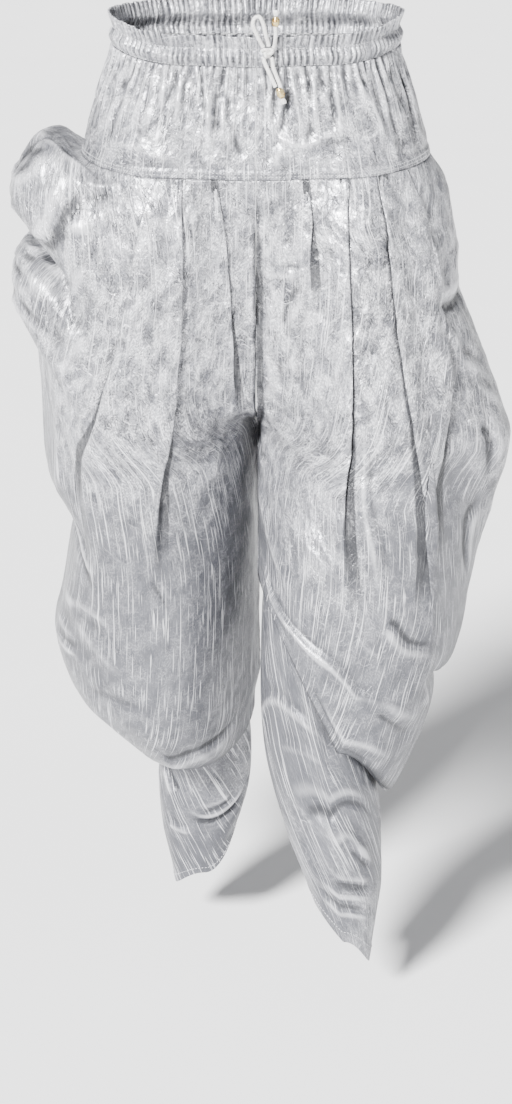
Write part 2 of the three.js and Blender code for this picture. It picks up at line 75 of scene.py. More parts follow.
def addNode(tree, kind, settings=None, links=None):
    node = tree.nodes.new(kind)
    for name, value in (settings or {}).items():
        if isinstance(name, str) and hasattr(node, name):
            setattr(node, name, value)
        else:
            node.inputs[name].default_value = value
    for name, source in (links or {}).items():
        tree.links.new(source, node.inputs[name])
    return node


def newMaterial(name):
    material = bpy.data.materials.new(name)
    material.use_nodes = True
    material.node_tree.nodes.clear()
    return material, material.node_tree


def newRamp(tree, factor, stops):
    ramp = addNode(tree, "ShaderNodeValToRGB", None, {"Fac": factor})
    for element, (position, hexText) in zip(ramp.color_ramp.elements, stops):
        element.position = position
        element.color = linearColor(hexText)
    return ramp.outputs["Color"]


def finishMaterial(material, tree, values, links):
    shader = addNode(tree, "ShaderNodeBsdfPrincipled", values, links)
    addNode(tree, "ShaderNodeOutputMaterial", None, {"Surface": shader.outputs["BSDF"]})
    return material


# The cloth's colours, then sizes in millimetres and shares.
dupionSettings = {
    "ground": "#505157",  # the colour left where no sheen is painted, as in the shaded drapes
    "paintedSheen": "#86878e",  # painted sheen, strongest where the cloth is crushed
    "thread": "#f2f2f6",  # the white of the slubs, and of the painted highlights and glints
    "hollow": "#1c1d20",  # dark of the finest weave, and painted shade in creases, folds and crushed marks
    "slubAcross": 1.5,  # from one thick thread to the next
    "slubAlong": 46.0,  # how far a thick thread runs before it thins
    "slubBright": 0.6,
    "fineAcross": 0.9,  # the real threads are 0.2 apart: drawn coarser so that they show
    "fineAlong": 14.0,
    "creases": [  # sharp small creases: size across, size along, turn, how much lighter they are (a painted highlight) or darker (a painted shade)
        (9.0, 34.0, 0.55, -0.55), (8.0, 30.0, -0.75, -0.5), (11.0, 52.0, 0.1, -0.6),
        (9.0, 30.0, 1.15, 0.6), (8.0, 26.0, -0.35, 0.6), (12.0, 42.0, -1.2, 0.6),
    ],
    "creaseWidth": 0.018,
    "facet": 7.0,  # size of the small crushed planes, each with its painted glint or shade
    "grain": 1.4,  # width of the finest crushed marks, painted as thin glints and shade
    "cloud": 16.0,  # size of the areas with more or less painted glint and shade of crushing
    "patch": 70.0,  # size of the patches of brighter painted sheen
    # painted highlight on crests and painted shade in folds
    "paintedCrestHighlight": 0.45,
    "paintedFoldShade": 0.8,
    "roughness": 0.34,
    "slubRoughness": 0.12,
    "metallic": 0.35,
    "drawnOut": 0.45,
    "slubHeight": 0.22,
    "fineHeight": 0.07,
    "creaseBump": 0.5,
    "facetBump": 1.1,
}


def dupionMaterial(settings):
    # Art-silk dupion, woven with uneven weft threads: a silvery satin gloss that is drawn out
    # along the threads, white slubs of uneven length, and fine creases where it was crushed.
    # Its colour also holds painted light: sheen where it is crushed, glints and shade on the crushed marks
    # and creases, highlights on crests and shade in folds.
    material, tree = newMaterial("artSilkDupion")
    place = addNode(tree, "ShaderNodeUVMap", {"uv_map": "UVMap"}).outputs["UV"]

    def laid(across, along, offset, turn=0.0):
        turned = addNode(tree, "ShaderNodeMapping", {"Rotation": (0.0, 0.0, turn)}, {"Vector": place})
        return addNode(tree, "ShaderNodeMapping", {
            "Location": (offset, offset * 0.7, 0.0),
            "Scale": (1000 / across, 1000 / along, 1.0),
        }, {"Vector": turned.outputs["Vector"]})

    def woven(across, along, offset, detail, turn=0.0):
        mapping = laid(across, along, offset, turn)
        return addNode(tree, "ShaderNodeTexNoise", {
            "noise_dimensions": "2D", "Scale": 1.0, "Detail": detail, "Roughness": 0.55,
        }, {"Vector": mapping.outputs["Vector"]}).outputs["Fac"]

    def ranged(source, low, high, lowTo=0.0, highTo=1.0):
        return addNode(tree, "ShaderNodeMapRange", {
            "interpolation_type": "SMOOTHSTEP",
            "From Min": low, "From Max": high, "To Min": lowTo, "To Max": highTo,
        }, {"Value": source}).outputs["Result"]

    def joined(operation, first, second):
        node = addNode(tree, "ShaderNodeMath", {"operation": operation})
        for i, source in enumerate((first, second)):
            if isinstance(source, float):
                node.inputs[i].default_value = source
            else:
                tree.links.new(source, node.inputs[i])
        return node.outputs["Value"]

    def mixed(factor, first, second):
        node = addNode(tree, "ShaderNodeMix", {"data_type": "RGBA"}, {0: factor})
        for i, source in ((6, first), (7, second)):  # the node's two colours
            if isinstance(source, str):
                node.inputs[i].default_value = linearColor(source)
            else:
                tree.links.new(source, node.inputs[i])
        return node.outputs[2]  # its mixed colour

    slub = ranged(woven(settings["slubAcross"], settings["slubAlong"], 3.1, 1.0), 0.66, 0.74)
    longSlub = woven(settings["slubAcross"] * 1.5, settings["slubAlong"] * 3, 17.3, 1.0)
    thread = joined("MAXIMUM", slub, ranged(longSlub, 0.67, 0.74))
    fine = woven(settings["fineAcross"], settings["fineAlong"], 41.0, 2.0)
    # how crushed the cloth is, which also sets the painted sheen: lighter where crushed, and in patches
    crushAndSheen = addNode(tree, "ShaderNodeAttribute", {"attribute_name": "crushAndSheen"}).outputs["Fac"]
    patch = ranged(woven(settings["patch"], settings["patch"] * 1.7, 8.8, 3.0), 0.4, 0.62)
    paintedSheen = joined("MULTIPLY", crushAndSheen, joined("ADD", joined("MULTIPLY", patch, 0.6), 0.4))
    planes = laid(settings["facet"], settings["facet"] * 1.8, 5.2, 0.3)
    facets = addNode(tree, "ShaderNodeTexVoronoi", {"voronoi_dimensions": "2D", "Scale": 1.0},
                     {"Vector": planes.outputs["Vector"]})
    tone = addNode(tree, "ShaderNodeSeparateColor", None, {"Color": facets.outputs["Color"]})
    # painted shade (below 0) and painted highlight (above 0), from how far the cloth stands below or above
    # its surroundings
    shade = addNode(tree, "ShaderNodeAttribute", {"attribute_name": "shade"}).outputs["Fac"]

    # colour of the weave with its painted sheen, then the painted glints and shade of the crush on it
    color = mixed(paintedSheen, settings["ground"], settings["paintedSheen"])
    color = mixed(joined("MULTIPLY", ranged(fine, 0.35, 0.65), 0.3), color, settings["hollow"])
    cloud = woven(settings["cloud"], settings["cloud"] * 1.5, 27.0, 3.0, 0.6)
    leaning = woven(settings["grain"], settings["grain"] * 2, 71.0, 2.0, 0.5)
    counter = woven(settings["grain"], settings["grain"] * 2, 93.0, 2.0, -0.8)
    light = joined("MULTIPLY", ranged(leaning, 0.5, 0.6), ranged(cloud, 0.38, 0.62, 0.1, 0.55))
    dark = joined("MULTIPLY", ranged(counter, 0.47, 0.37), ranged(cloud, 0.62, 0.38, 0.1, 0.5))
    lighter = joined("ADD", joined("MULTIPLY", tone.outputs["Red"], 0.22), light)
    lighter = joined("ADD", lighter, ranged(cloud, 0.45, 0.65, 0.0, 0.2))
    darker = joined("ADD", joined("MULTIPLY", tone.outputs["Green"], 0.2), dark)
    color = mixed(joined("MULTIPLY", lighter, crushAndSheen), color, settings["thread"])
    color = mixed(joined("MULTIPLY", darker, crushAndSheen), color, settings["hollow"])

    # relief of threads and crushed planes, then the sharp creases, with painted highlight or shade in
    # colour, and relief
    height = joined("ADD", joined("MULTIPLY", thread, settings["slubHeight"]),
                    joined("MULTIPLY", fine, settings["fineHeight"]))
    bent = joined("MULTIPLY", facets.outputs["Distance"], crushAndSheen)
    height = joined("ADD", height, joined("MULTIPLY", bent, settings["facetBump"]))
    for i, (across, along, turn, gain) in enumerate(settings["creases"]):
        wandering = woven(across, along, 6.0 + 9 * i, 2.0, turn)
        away = joined("ABSOLUTE", joined("SUBTRACT", wandering, 0.5), 0.0)
        line = ranged(away, 0.0, settings["creaseWidth"], 1.0, 0.0)
        broken = ranged(woven(across * 2.2, along * 1.1, 60.0 + 7 * i, 1.0, turn), 0.45, 0.6)
        line = joined("MULTIPLY", joined("MULTIPLY", line, broken), crushAndSheen)
        # a painted highlight on a raised crease, painted shade in a sunken one
        tint = settings["thread" if gain > 0 else "hollow"]
        color = mixed(joined("MULTIPLY", line, abs(gain)), color, tint)
        raised = joined("MULTIPLY", line, math.copysign(settings["creaseBump"], gain))
        height = joined("ADD", height, raised)
    color = mixed(joined("MULTIPLY", thread, settings["slubBright"]), color, settings["thread"])
    # painted highlight on the crests and painted shade in the folds
    color = mixed(ranged(shade, 0.1, 1.0, 0.0, settings["paintedCrestHighlight"]), color, settings["thread"])
    color = mixed(ranged(shade, -0.1, -1.0, 0.0, settings["paintedFoldShade"]), color, settings["hollow"])
    bump = addNode(tree, "ShaderNodeBump", {"Strength": 1.0, "Distance": millimetre}, {"Height": height})
    roughness = joined("ADD", joined("MULTIPLY", thread, settings["slubRoughness"]), settings["roughness"])
    tangent = addNode(tree, "ShaderNodeTangent", {"direction_type": "UV_MAP", "uv_map": "UVMap"})
    return finishMaterial(material, tree, {
        "Metallic": settings["metallic"], "Anisotropic": settings["drawnOut"],
    }, {
        "Base Color": color, "Roughness": roughness, "Normal": bump.outputs["Normal"],
        "Tangent": tangent.outputs["Tangent"],
    })


def cordMaterial():
    # Rayon cord, three plies twisted: soft gloss on each ply and greyed hollows between them.
    material, tree = newMaterial("twistedRayonCord")
    place = addNode(tree, "ShaderNodeUVMap", {"uv_map": "UVMap"}).outputs["UV"]
    mapping = addNode(tree, "ShaderNodeMapping", {"Scale": (1000 / 0.5, 1000 / 4.0, 1.0)}, {"Vector": place})
    fibre = addNode(tree, "ShaderNodeTexNoise", {"noise_dimensions": "2D", "Scale": 1.0, "Detail": 2.0},
                    {"Vector": mapping.outputs["Vector"]})
    color = newRamp(tree, fibre.outputs["Fac"], [(0.3, "#a9a6a2"), (0.65, "#efeeec")])
    bump = addNode(tree, "ShaderNodeBump", {"Strength": 0.5, "Distance": 0.3 * millimetre},
                   {"Height": fibre.outputs["Fac"]})
    return finishMaterial(material, tree, {"Roughness": 0.5, "Sheen Weight": 0.3},
                          {"Base Color": color, "Normal": bump.outputs["Normal"]})


def brassMaterial():
    # Brass, pressed and tumbled: warm metal with small dents and worn, brighter patches.
    material, tree = newMaterial("tumbledBrass")
    place = addNode(tree, "ShaderNodeTexCoord").outputs["Object"]
    wear = addNode(tree, "ShaderNodeTexNoise", {"Scale": 1000 / 2.5, "Detail": 4.0}, {"Vector": place})
    color = newRamp(tree, wear.outputs["Fac"], [(0.35, "#a97f3c"), (0.62, "#f1dfa6")])
    rough = addNode(tree, "ShaderNodeMapRange", {"To Min": 0.18, "To Max": 0.4},
                    {"Value": wear.outputs["Fac"]})
    bump = addNode(tree, "ShaderNodeBump", {"Strength": 0.4, "Distance": 0.2 * millimetre},
                   {"Height": wear.outputs["Fac"]})
    return finishMaterial(material, tree, {"Metallic": 1.0}, {
        "Base Color": color, "Roughness": rough.outputs["Result"], "Normal": bump.outputs["Normal"],
    })


def threadMaterial():
    # Polyester sewing thread: a pale twist that stands out from the cloth by its gloss.
    material, tree = newMaterial("polyesterSewingThread")
    place = addNode(tree, "ShaderNodeTexCoord").outputs["Object"]
    twist = addNode(tree, "ShaderNodeTexNoise", {"Scale": 1000 / 0.8, "Detail": 1.0}, {"Vector": place})
    color = newRamp(tree, twist.outputs["Fac"], [(0.0, "#9c9ca2"), (1.0, "#f3f3f5")])
    return finishMaterial(material, tree, {"Roughness": 0.4, "Sheen Weight": 0.2}, {"Base Color": color})


def paleFloorMaterial():
    # Painted board: matt, with a trace of roller grain.
    material, tree = newMaterial("paleMattBoard")
    place = addNode(tree, "ShaderNodeTexCoord").outputs["Object"]
    grain = addNode(tree, "ShaderNodeTexNoise", {"Scale": 3.0, "Detail": 2.0}, {"Vector": place})
    color = newRamp(tree, grain.outputs["Fac"], [(0.0, "#f6f6f6"), (1.0, "#fbfbfb")])
    return finishMaterial(material, tree, {"Roughness": 0.9}, {"Base Color": color})


dupion = dupionMaterial(dupionSettings)
twistedCord = cordMaterial()
brass = brassMaterial()
sewingThread = threadMaterial()
print("materials made")

# The form, as on the CAD part: one row for each section round a leg or the waist. z is the
# height of the outer side, the front, the middle seam in front, the back and the middle
# seam behind; out, mid and inn are distances from the middle plane; front, side, back and
# inY are depths; spread is the half width above the crotch and round is 1 on a tube.
sectionColumns = "zOut zFront zIn zBack zInBack out mid inn front side back inY spread round".split()
rightLegRows = [
    [-139, -147, -149, -141, -141, 179, 85, 0.15, -119, 5, 112, -8, 113, 0],
    [-190, -200, -200, -195, -190, 200, 95, 0.15, -131, 8, 126, -4, 114, 0],
    [-285, -300, -300, -290, -285, 216, 104, 0.15, -139, 12, 138, -1, 105, 0],
    [-385, -395, -392, -390, -385, 222, 108, 0.15, -136, 18, 150, 5, 79, 0.1],
    [-455, -465, -432, -460, -432, 220, 110, 1, -129, 25, 160, 12, 0, 0.55],
    [-560, -570, -545, -570, -545, 212, 110, 3, -114, 38, 172, 36, 0, 1],
    [-665, -685, -655, -680, -655, 214, 108, 3, -96, 52, 178, 50, 0, 1],
    [-760, -765, -725, -765, -725, 170, 96, 2, -66, 60, 166, 61.5, 0, 1],
    [-813, -811, -764, -808, -764, 113, 76, 2, -19, 66, 148, 62, 0, 1],
    [-804, -789, -740, -780, -740, 101, 62, 14, 14, 70, 126, 62, 0, 1],
]
rightCuffRows = [
    rightLegRows[-1],
    [-826, -822, -790, -820, -790, 108, 60, 6, 20, 74, 131, 68, 0, 1],
    [-872, -872, -842, -874, -842, 110, 59, 6, 25, 77, 130, 72, 0, 1],
    [-925, -918, -876, -924, -876, 103, 58, 14, 30, 78, 126, 74, 0, 1],
    [-979, -953, -889, -958, -889, 91, 57, 21, 34, 77, 121, 74, 0, 1],
]
leftLegRows = [
    rightLegRows[0],
    [-190, -200, -200, -195, -190, 198, 95, 0.15, -137, 3, 124, -4, 114, 0],
    [-280, -300, -300, -285, -280, 214, 108, 0.15, -158, -2, 130, -5, 105, 0],
    [-385, -400, -392, -380, -378, 238, 116, 0.15, -176, -12, 132, -7, 77, 0.1],
    [-455, -475, -432, -450, -432, 240, 118, 1, -187, -25, 124, -18, 0, 0.55],
    [-535, -560, -482, -530, -482, 232, 116, 2, -196, -40, 106, -54, 0, 1],
    [-630, -632, -522, -612, -522, 214, 108, 2, -202, -58, 78, -66, 0, 1],
    [-720, -690, -552, -684, -552, 180, 96, 2, -205, -80, 40, -75.5, 0, 1],
    [-796, -727, -568, -728, -568, 142, 84, 2, -196, -104, -6, -76, 0, 1],
    [-783, -704, -546, -704, -546, 126, 74, 13, -168, -106, -40, -76, 0, 1],
]
leftCuffRows = [
    leftLegRows[-1],
    [-814, -750, -610, -750, -610, 131, 74, 6, -174, -107, -46, -84, 0, 1],
    [-852, -815, -735, -818, -735, 133, 79, 7, -178, -110, -54, -97, 0, 1],
    [-900, -880, -835, -885, -835, 133, 86, 30, -179, -115, -64, -110, 0, 1],
    [-985, -946, -907, -955, -907, 121, 92, 59, -172, -128, -84, -128, 0, 1],
]
yokeRows = [
    [-27, -38, -40, -30, -30, 146, 70, 0.15, -98, 2, 98, 0, 99, 0],
    [-62, -72, -74, -64, -64, 158, 75, 0.15, -108, 3, 104, -2, 106, 0],
    [-102, -112, -114, -104, -104, 170, 81, 0.15, -115, 4, 109, -5, 111, 0],
    rightLegRows[0],
]
waistRows = [
    [6, -8, -10, 6, 6, 149, 72, 0, -102, 1, 102, 0, 103, 0],
    [-8, -20, -22, -9, -9, 146, 70, 0, -98.5, 1, 98.5, 0, 99.5, 0],
    [-17, -29, -31, -20, -20, 149, 71, 0, -101.5, 2, 101.5, 0, 102.5, 0],
    [-26.7, -37.7, -39.7, -29.7, -29.7, 146, 70, 0, -98, 2, 98, 0, 99, 0],
]
# outline of the cowls down the outer side: place between the rows above, distance out, height
rightFolds = [
    [0, 179, -139], [0.2, 189, -139], [0.45, 204, -122], [0.8, 229, -122], [1.1, 251, -153],
    [1.4, 256, -186], [1.65, 241, -210], [1.85, 223, -220], [2.05, 204, -203], [2.2, 214, -226],
    [2.4, 242, -230], [2.7, 256, -260], [3, 251, -296], [3.25, 234, -326], [3.6, 228, -372],
    [4, 226, -440], [4.3, 222, -478], [4.6, 207, -508], [4.8, 195, -524], [5, 199, -548],
    [5.5, 209, -610], [6, 219, -665], [6.8, 195, -736], [7.3, 160, -776], [8, 113, -813], [9, 101, -804],
]
leftFolds = [
    [0, 179, -139], [0.5, 196, -166], [1, 206, -205], [1.6, 211, -250], [1.9, 212, -280],
    [2.2, 226, -312], [2.6, 242, -354], [3, 259, -398], [3.3, 267, -424], [3.6, 263, -452],
    [4, 250, -495], [4.5, 236, -540], [5, 227, -580], [5.6, 217, -628], [6, 207, -656],
    [6.2, 195, -667], [6.4, 180, -658], [6.6, 187, -682], [7, 181, -715], [7.5, 163, -755],
    [8, 142, -796], [9, 126, -783],
]
# knife pleats: place round the leg at rows 0, 2, 4 and 6, row where it runs out, depth, and
# the side that lies on top (1 is outward)
rightPleats = [
    [0.117, 0.06, 0.03, 0.03, 3.4, 4.5, 1],
    [0.219, 0.186, 0.225, 0.25, 5.4, 6, 1],
    [0.27, 0.29, 0.355, 0.34, 4.9, 6.5, -1],
    [0.73, 0.71, 0.66, 0.66, 4.9, 6.5, 1],
    [0.78, 0.8, 0.785, 0.77, 5.6, 6, -1],
    [0.88, 0.92, 0.93, 0.93, 3.4, 4.5, -1],
]
leftPleats = [
    [0.152, 0.14, 0.13, 0.13, 1.9, 4, -1],
    [0.26, 0.219, 0.207, 0.24, 5.8, 5.5, -1],
    [0.315, 0.304, 0.317, 0.345, 6, 5.5, 1],
    [0.371, 0.383, 0.336, 0.38, 5.2, 6.5, -1],
    [0.64, 0.64, 0.66, 0.64, 5.2, 6.5, 1],
    [0.72, 0.75, 0.76, 0.75, 5.8, 6, -1],
    [0.85, 0.87, 0.88, 0.88, 4.4, 4.5, -1],
]
# creases, listed one by one: height (below 0 is a trough), half width, lean (a trough beside the
# ridge), then points as (row, place round the leg)
rightCreases = [
    (3.0, 7, 0.0, [(0.6, 0.012), (2, 0.01), (3.5, 0.008), (4.4, 0.01)]),
    (1.8, 7, 0.5, [(1.49, 0.17), (2.84, 0.129)]),
    (2.6, 16, 0.5, [(3.87, 0.292), (3.49, 0.217), (3.76, 0.118)]),
    (3.0, 7, 0.8, [(2.05, 0.34), (2.36, 0.358), (2.69, 0.371), (3.14, 0.391)]),
    (4.5, 5, -0.9, [(0.55, 0.392), (1.0, 0.396), (1.3, 0.4), (1.5, 0.412), (1.56, 0.432)]),
    (-3.5, 6, 0.5, [(1.61, 0.405), (2.37, 0.436), (2.45, 0.462)]),
    (3.0, 7, -0.6, [(1.3, 0.35), (1.8, 0.37), (2.2, 0.387)]),
    # round the cowls, where the cloth hangs in thin swags
    (2.4, 4, 0.8, [(0.5, 0.38), (0.62, 0.44), (0.66, 0.52), (0.5, 0.62)]),
    (-2.4, 4, 0.6, [(0.75, 0.42), (0.9, 0.46), (0.95, 0.53)]),
    (2.8, 4, 0.8, [(0.9, 0.41), (1.12, 0.45), (1.16, 0.52), (0.95, 0.6)]),
    (2.2, 3.5, 0.7, [(1.35, 0.43), (1.45, 0.48), (1.4, 0.56)]),
    (2.4, 4, 0.8, [(2.1, 0.39), (2.35, 0.44), (2.4, 0.52), (2.2, 0.6)]),
    (-2.4, 4, 0.6, [(2.55, 0.41), (2.62, 0.46), (2.6, 0.54)]),
    (2.6, 4, 0.8, [(2.7, 0.38), (2.9, 0.43), (2.95, 0.51), (2.8, 0.58)]),
    (2.2, 6, 0.6, [(1.24, 0.397), (1.2, 0.374), (1.0, 0.345)]),
    (-2.2, 4, -0.6, [(4.93, 0.25), (5.12, 0.235), (5.34, 0.216)]),
    (-4.5, 8, -0.7, [(4.8, 0.47), (4.95, 0.4), (5.25, 0.345)]),
    (-3.5, 6, 0.6, [(4.55, 0.43), (4.8, 0.38), (5.0, 0.36)]),
    (2.6, 14, 0.6, [(5.35, 0.47), (5.7, 0.36), (6.3, 0.25)]),
    (2.4, 6, 0.8, [(5.75, 0.47), (5.8, 0.42), (5.78, 0.38)]),
    (2.0, 5, 0.8, [(5.95, 0.47), (6.0, 0.42), (5.98, 0.385)]),
    (-2.4, 9, 0.0, [(6.45, 0.42), (6.35, 0.33), (6.4, 0.24)]),
    (-3.6, 5, 0.8, [(7.0, 0.286), (7.38, 0.262), (7.27, 0.215), (7.23, 0.142), (6.95, 0.03)]),
    (-2.6, 7, -0.5, [(6.9, 0.46), (7.2, 0.4), (7.5, 0.33)]),
    (1.6, 6, 0.6, [(5.59, 0.47), (5.41, 0.355), (5.58, 0.307)]),
    (2.6, 8, 0.6, [(7.35, 0.42), (7.6, 0.32), (7.62, 0.2), (7.4, 0.1)]),
    (-3.0, 7, 0.5, [(0.3, 0.33), (0.9, 0.37), (1.5, 0.4)]),
    (3.0, 9, 0.6, [(0.25, 0.37), (0.8, 0.42), (1.45, 0.46)]),
    (-2.6, 7, 0.6, [(0.5, 0.46), (1.0, 0.49), (1.6, 0.5)]),
    (3.0, 9, 0.6, [(0.4, 0.56), (1.0, 0.58), (1.6, 0.56)]),
    (-3.5, 7, 0.4, [(1.98, 0.36), (2.0, 0.44), (2.02, 0.5), (1.96, 0.6)]),
    (2.6, 8, 0.7, [(2.3, 0.4), (2.7, 0.43), (3.1, 0.45)]),
    (-2.4, 6, 0.5, [(2.4, 0.47), (2.75, 0.49), (3.0, 0.53)]),
    (-4.0, 8, 0.6, [(3.2, 0.37), (3.25, 0.45), (3.28, 0.55)]),
    (2.6, 9, 0.5, [(3.5, 0.4), (4.1, 0.41), (4.6, 0.44)]),
    (-2.4, 8, 0.5, [(3.5, 0.47), (4.0, 0.475), (4.6, 0.485)]),
    (3.0, 9, 0.6, [(3.6, 0.55), (4.2, 0.56), (4.7, 0.53)]),
    # behind, where nothing shows: the same kinds of crease
    (-4.0, 8, 0.7, [(4.75, 0.54), (4.95, 0.6), (5.3, 0.66)]),
    (2.6, 14, 0.6, [(5.4, 0.54), (5.8, 0.64), (6.4, 0.74)]),
    (3.0, 14, 0.6, [(6.2, 0.53), (6.7, 0.62), (7.1, 0.74), (7.2, 0.86)]),
    (-2.6, 8, 0.5, [(6.9, 0.55), (7.3, 0.63), (7.5, 0.72)]),
    (2.4, 8, 0.7, [(1.2, 0.63), (1.9, 0.65), (2.6, 0.62)]),
    (2.2, 16, 0.5, [(3.3, 0.9), (3.6, 0.8), (3.9, 0.72)]),
    (1.8, 7, 0.5, [(1.4, 0.85), (2.9, 0.87)]),
    (-2.4, 7, 0.5, [(5.5, 0.82), (6.0, 0.78), (6.5, 0.76)]),
]
leftCreases = [
    (-6.0, 9, 0.0, [(0.4, 0.004), (2, 0.007), (3.2, 0.008), (4.3, 0.0)]),
    (2.2, 5, 0.8, [(1.93, 0.24), (3.01, 0.23), (3.96, 0.235), (4.59, 0.254), (5.55, 0.275)]),
    (3.0, 12, 0.6, [(2.83, 0.014), (3.3, 0.05), (3.6, 0.12), (3.52, 0.199)]),
    (2.0, 3.5, 0.9, [(1.45, 0.0), (1.46, 0.07), (1.42, 0.14)]),
    (2.4, 8, 0.7, [(0.7, 0.1), (1.1, 0.05), (1.42, 0.015)]),
    (-2.4, 6, 0.6, [(1.5, 0.11), (1.8, 0.07), (2.05, 0.06)]),
    (2.0, 5, 0.8, [(1.6, 0.13), (1.8, 0.1), (1.95, 0.075)]),
    (-3.0, 11, 0.0, [(1.9, 0.04), (2.3, 0.05), (2.7, 0.06)]),
    (2.4, 7, 0.6, [(2.0, 0.1), (2.35, 0.085), (2.7, 0.08)]),
    (3.2, 13, 0.5, [(4.6, 0.015), (5.2, 0.05), (5.85, 0.096), (6.35, 0.15)]),
    (2.0, 5, 0.8, [(4.45, 0.02), (4.35, 0.05)]),
    (-3.4, 6, -0.7, [(5.36, 0.272), (5.4, 0.29), (5.73, 0.326), (5.94, 0.405)]),
    (-5.0, 6, 0.7, [(3.03, 0.412), (3.2, 0.42), (3.83, 0.422)]),
    (-3.5, 5, 0.7, [(3.83, 0.422), (4.2, 0.4), (4.6, 0.41), (4.9, 0.43)]),
    (-5.0, 7, 0.6, [(1.75, 0.37), (1.9, 0.4), (1.9, 0.46), (1.87, 0.5)]),
    (-2.6, 5, 0.5, [(0.5, 0.39), (1.3, 0.381), (1.95, 0.38)]),
    (-4.2, 5, 0.8, [(1.95, 0.378), (2.19, 0.386), (2.42, 0.401)]),
    (2.6, 6, 0.8, [(2.41, 0.398), (2.55, 0.43), (2.71, 0.465)]),
    (2.4, 6, 0.8, [(2.6, 0.41), (2.8, 0.44), (3.0, 0.47)]),
    (2.6, 9, 0.6, [(3.3, 0.46), (3.9, 0.45), (4.6, 0.46)]),
    (-2.4, 8, 0.5, [(4.0, 0.49), (4.7, 0.48), (5.4, 0.47)]),
    (1.8, 7, 0.5, [(5.2, 0.2), (5.6, 0.235), (6.0, 0.3)]),
    (3.4, 7, 0.9, [(6.35, 0.02), (7.1, 0.088), (6.88, 0.16), (6.5, 0.231), (6.8, 0.36)]),
    (-1.8, 5, 0.6, [(6.9, 0.02), (7.5, 0.09), (7.3, 0.16)]),
    (2.6, 6, 0.8, [(7.55, 0.19), (7.45, 0.26), (7.5, 0.33), (7.55, 0.41)]),
    (-4.0, 7, 0.6, [(6.75, 0.28), (7.05, 0.35), (7.15, 0.42)]),
    (-3.0, 6, 0.6, [(7.4, 0.16), (7.75, 0.25), (7.8, 0.36)]),
    (3.0, 8, 0.6, [(6.2, 0.36), (6.6, 0.4), (6.9, 0.45)]),
    # behind
    (-4.5, 8, 0.7, [(5.4, 0.72), (5.7, 0.67), (5.95, 0.61)]),
    (-4.0, 7, 0.6, [(3.0, 0.6), (3.3, 0.59), (3.9, 0.59)]),
    (3.0, 9, 0.7, [(6.1, 0.93), (6.4, 0.85), (6.6, 0.74), (6.8, 0.66)]),
    (-3.4, 8, 0.6, [(6.9, 0.72), (7.1, 0.64), (7.2, 0.58)]),
    (2.6, 12, 0.6, [(2.9, 0.97), (3.5, 0.92), (3.6, 0.8)]),
    (2.4, 8, 0.6, [(1.3, 0.6), (2.0, 0.6), (2.6, 0.57)]),
    (2.0, 7, 0.5, [(1.2, 0.8), (2.6, 0.81)]),
    (2.6, 14, 0.6, [(4.4, 0.95), (5.2, 0.88), (5.7, 0.8)]),
]
# cowl is where the cowls stand out round the leg, and the panels meet in the pleats named by
# frontEnds and backStarts; crossing is how far the inner side leans over to the other leg (mm)
legSettings = {
    "right": {
        "sign": -1, "rows": rightLegRows, "cuff": rightCuffRows, "folds": rightFolds,
        "pleats": rightPleats, "creases": rightCreases, "cowl": (0.33, 0.455, 0.545, 0.67),
        "lipEase": 0.5, "frontEnds": 2, "backStarts": 3, "seed": 11, "crossing": 7.0,
    },
    "left": {
        "sign": 1, "rows": leftLegRows, "cuff": leftCuffRows, "folds": leftFolds,
        "pleats": leftPleats, "creases": leftCreases, "cowl": (0.35, 0.46, 0.54, 0.65),
        "lipEase": 0.0, "frontEnds": 3, "backStarts": 4, "seed": 23, "crossing": 0.0,
    },
}
clothSettings = {
    "turnLength": 700.0,  # mm, about the way round a leg
    "leftStart": 1700,  # mm, where on the cloth the left pieces are cut
    "pleatBack": 34.0,  # mm, how far a pleat's raised side runs before it is flat again
    "pleatStart": 0.3,  # share of a pleat's depth at the yoke
    "pleatSwell": 1.3,  # row where it is at its full depth
    "legRows": 190,
    "tuckRows": 10,  # of the cloth that turns in under the lip
    "columnWidth": 4.6,  # mm
    "sideColumns": {"from": 0.3, "to": 0.7, "share": 0.72},  # narrower round the cowls
    "thickness": 0.8,
    "seamGap": 0.3,
    "crownShare": 0.177,  # part of the waist from the middle front to the front crown
    "lipRow": 8,
    "tuckRow": 9,
    "deepest": -9,
    "highest": 7,
}
# a pleat's fold across its line: way towards its raised side in mm, and share of its depth
pleatFold = [
    (-14, 0), (-9, 0), (-5, 0), (-2, 0), (1, 0), (4, 0.01), (7, 0.02), (9.5, 0.05), (11, 0.12),
    (11.6, 0.24), (11, 0.35), (9.5, 0.4), (7, 0.43), (4, 0.45), (1, 0.48), (-1.2, 0.52),
    (-2.4, 0.6), (-2.9, 0.74), (-2.5, 0.87), (-1.4, 0.96), (0.4, 1), (3, 1), (7, 1), (12, 1),
]
foldBottom = 9  # the hidden turn, where two panels meet
# painted shade and highlight of each point of that fold: shade in the turn and a highlight on the pleat's
# edge
pleatShade = [0, 0, -0.2] + [-1] * 14 + [-0.6, 0, 0.35, 0.3, 0.1, 0, 0]
foldWidth = (-14, 12)  # where a pleat has run out, its points lie evenly between these


def smoothstep(low, high, x):
    s = np.clip((x - low) / (high - low), 0, 1)
    return s * s * (3 - 2 * s)


# From 0 up to 1 over the first two places and back to 0 over the last two.
def between(x, low, lowEnd, highStart, high):
    return smoothstep(low, lowEnd, x) * (1 - smoothstep(highStart, high, x))


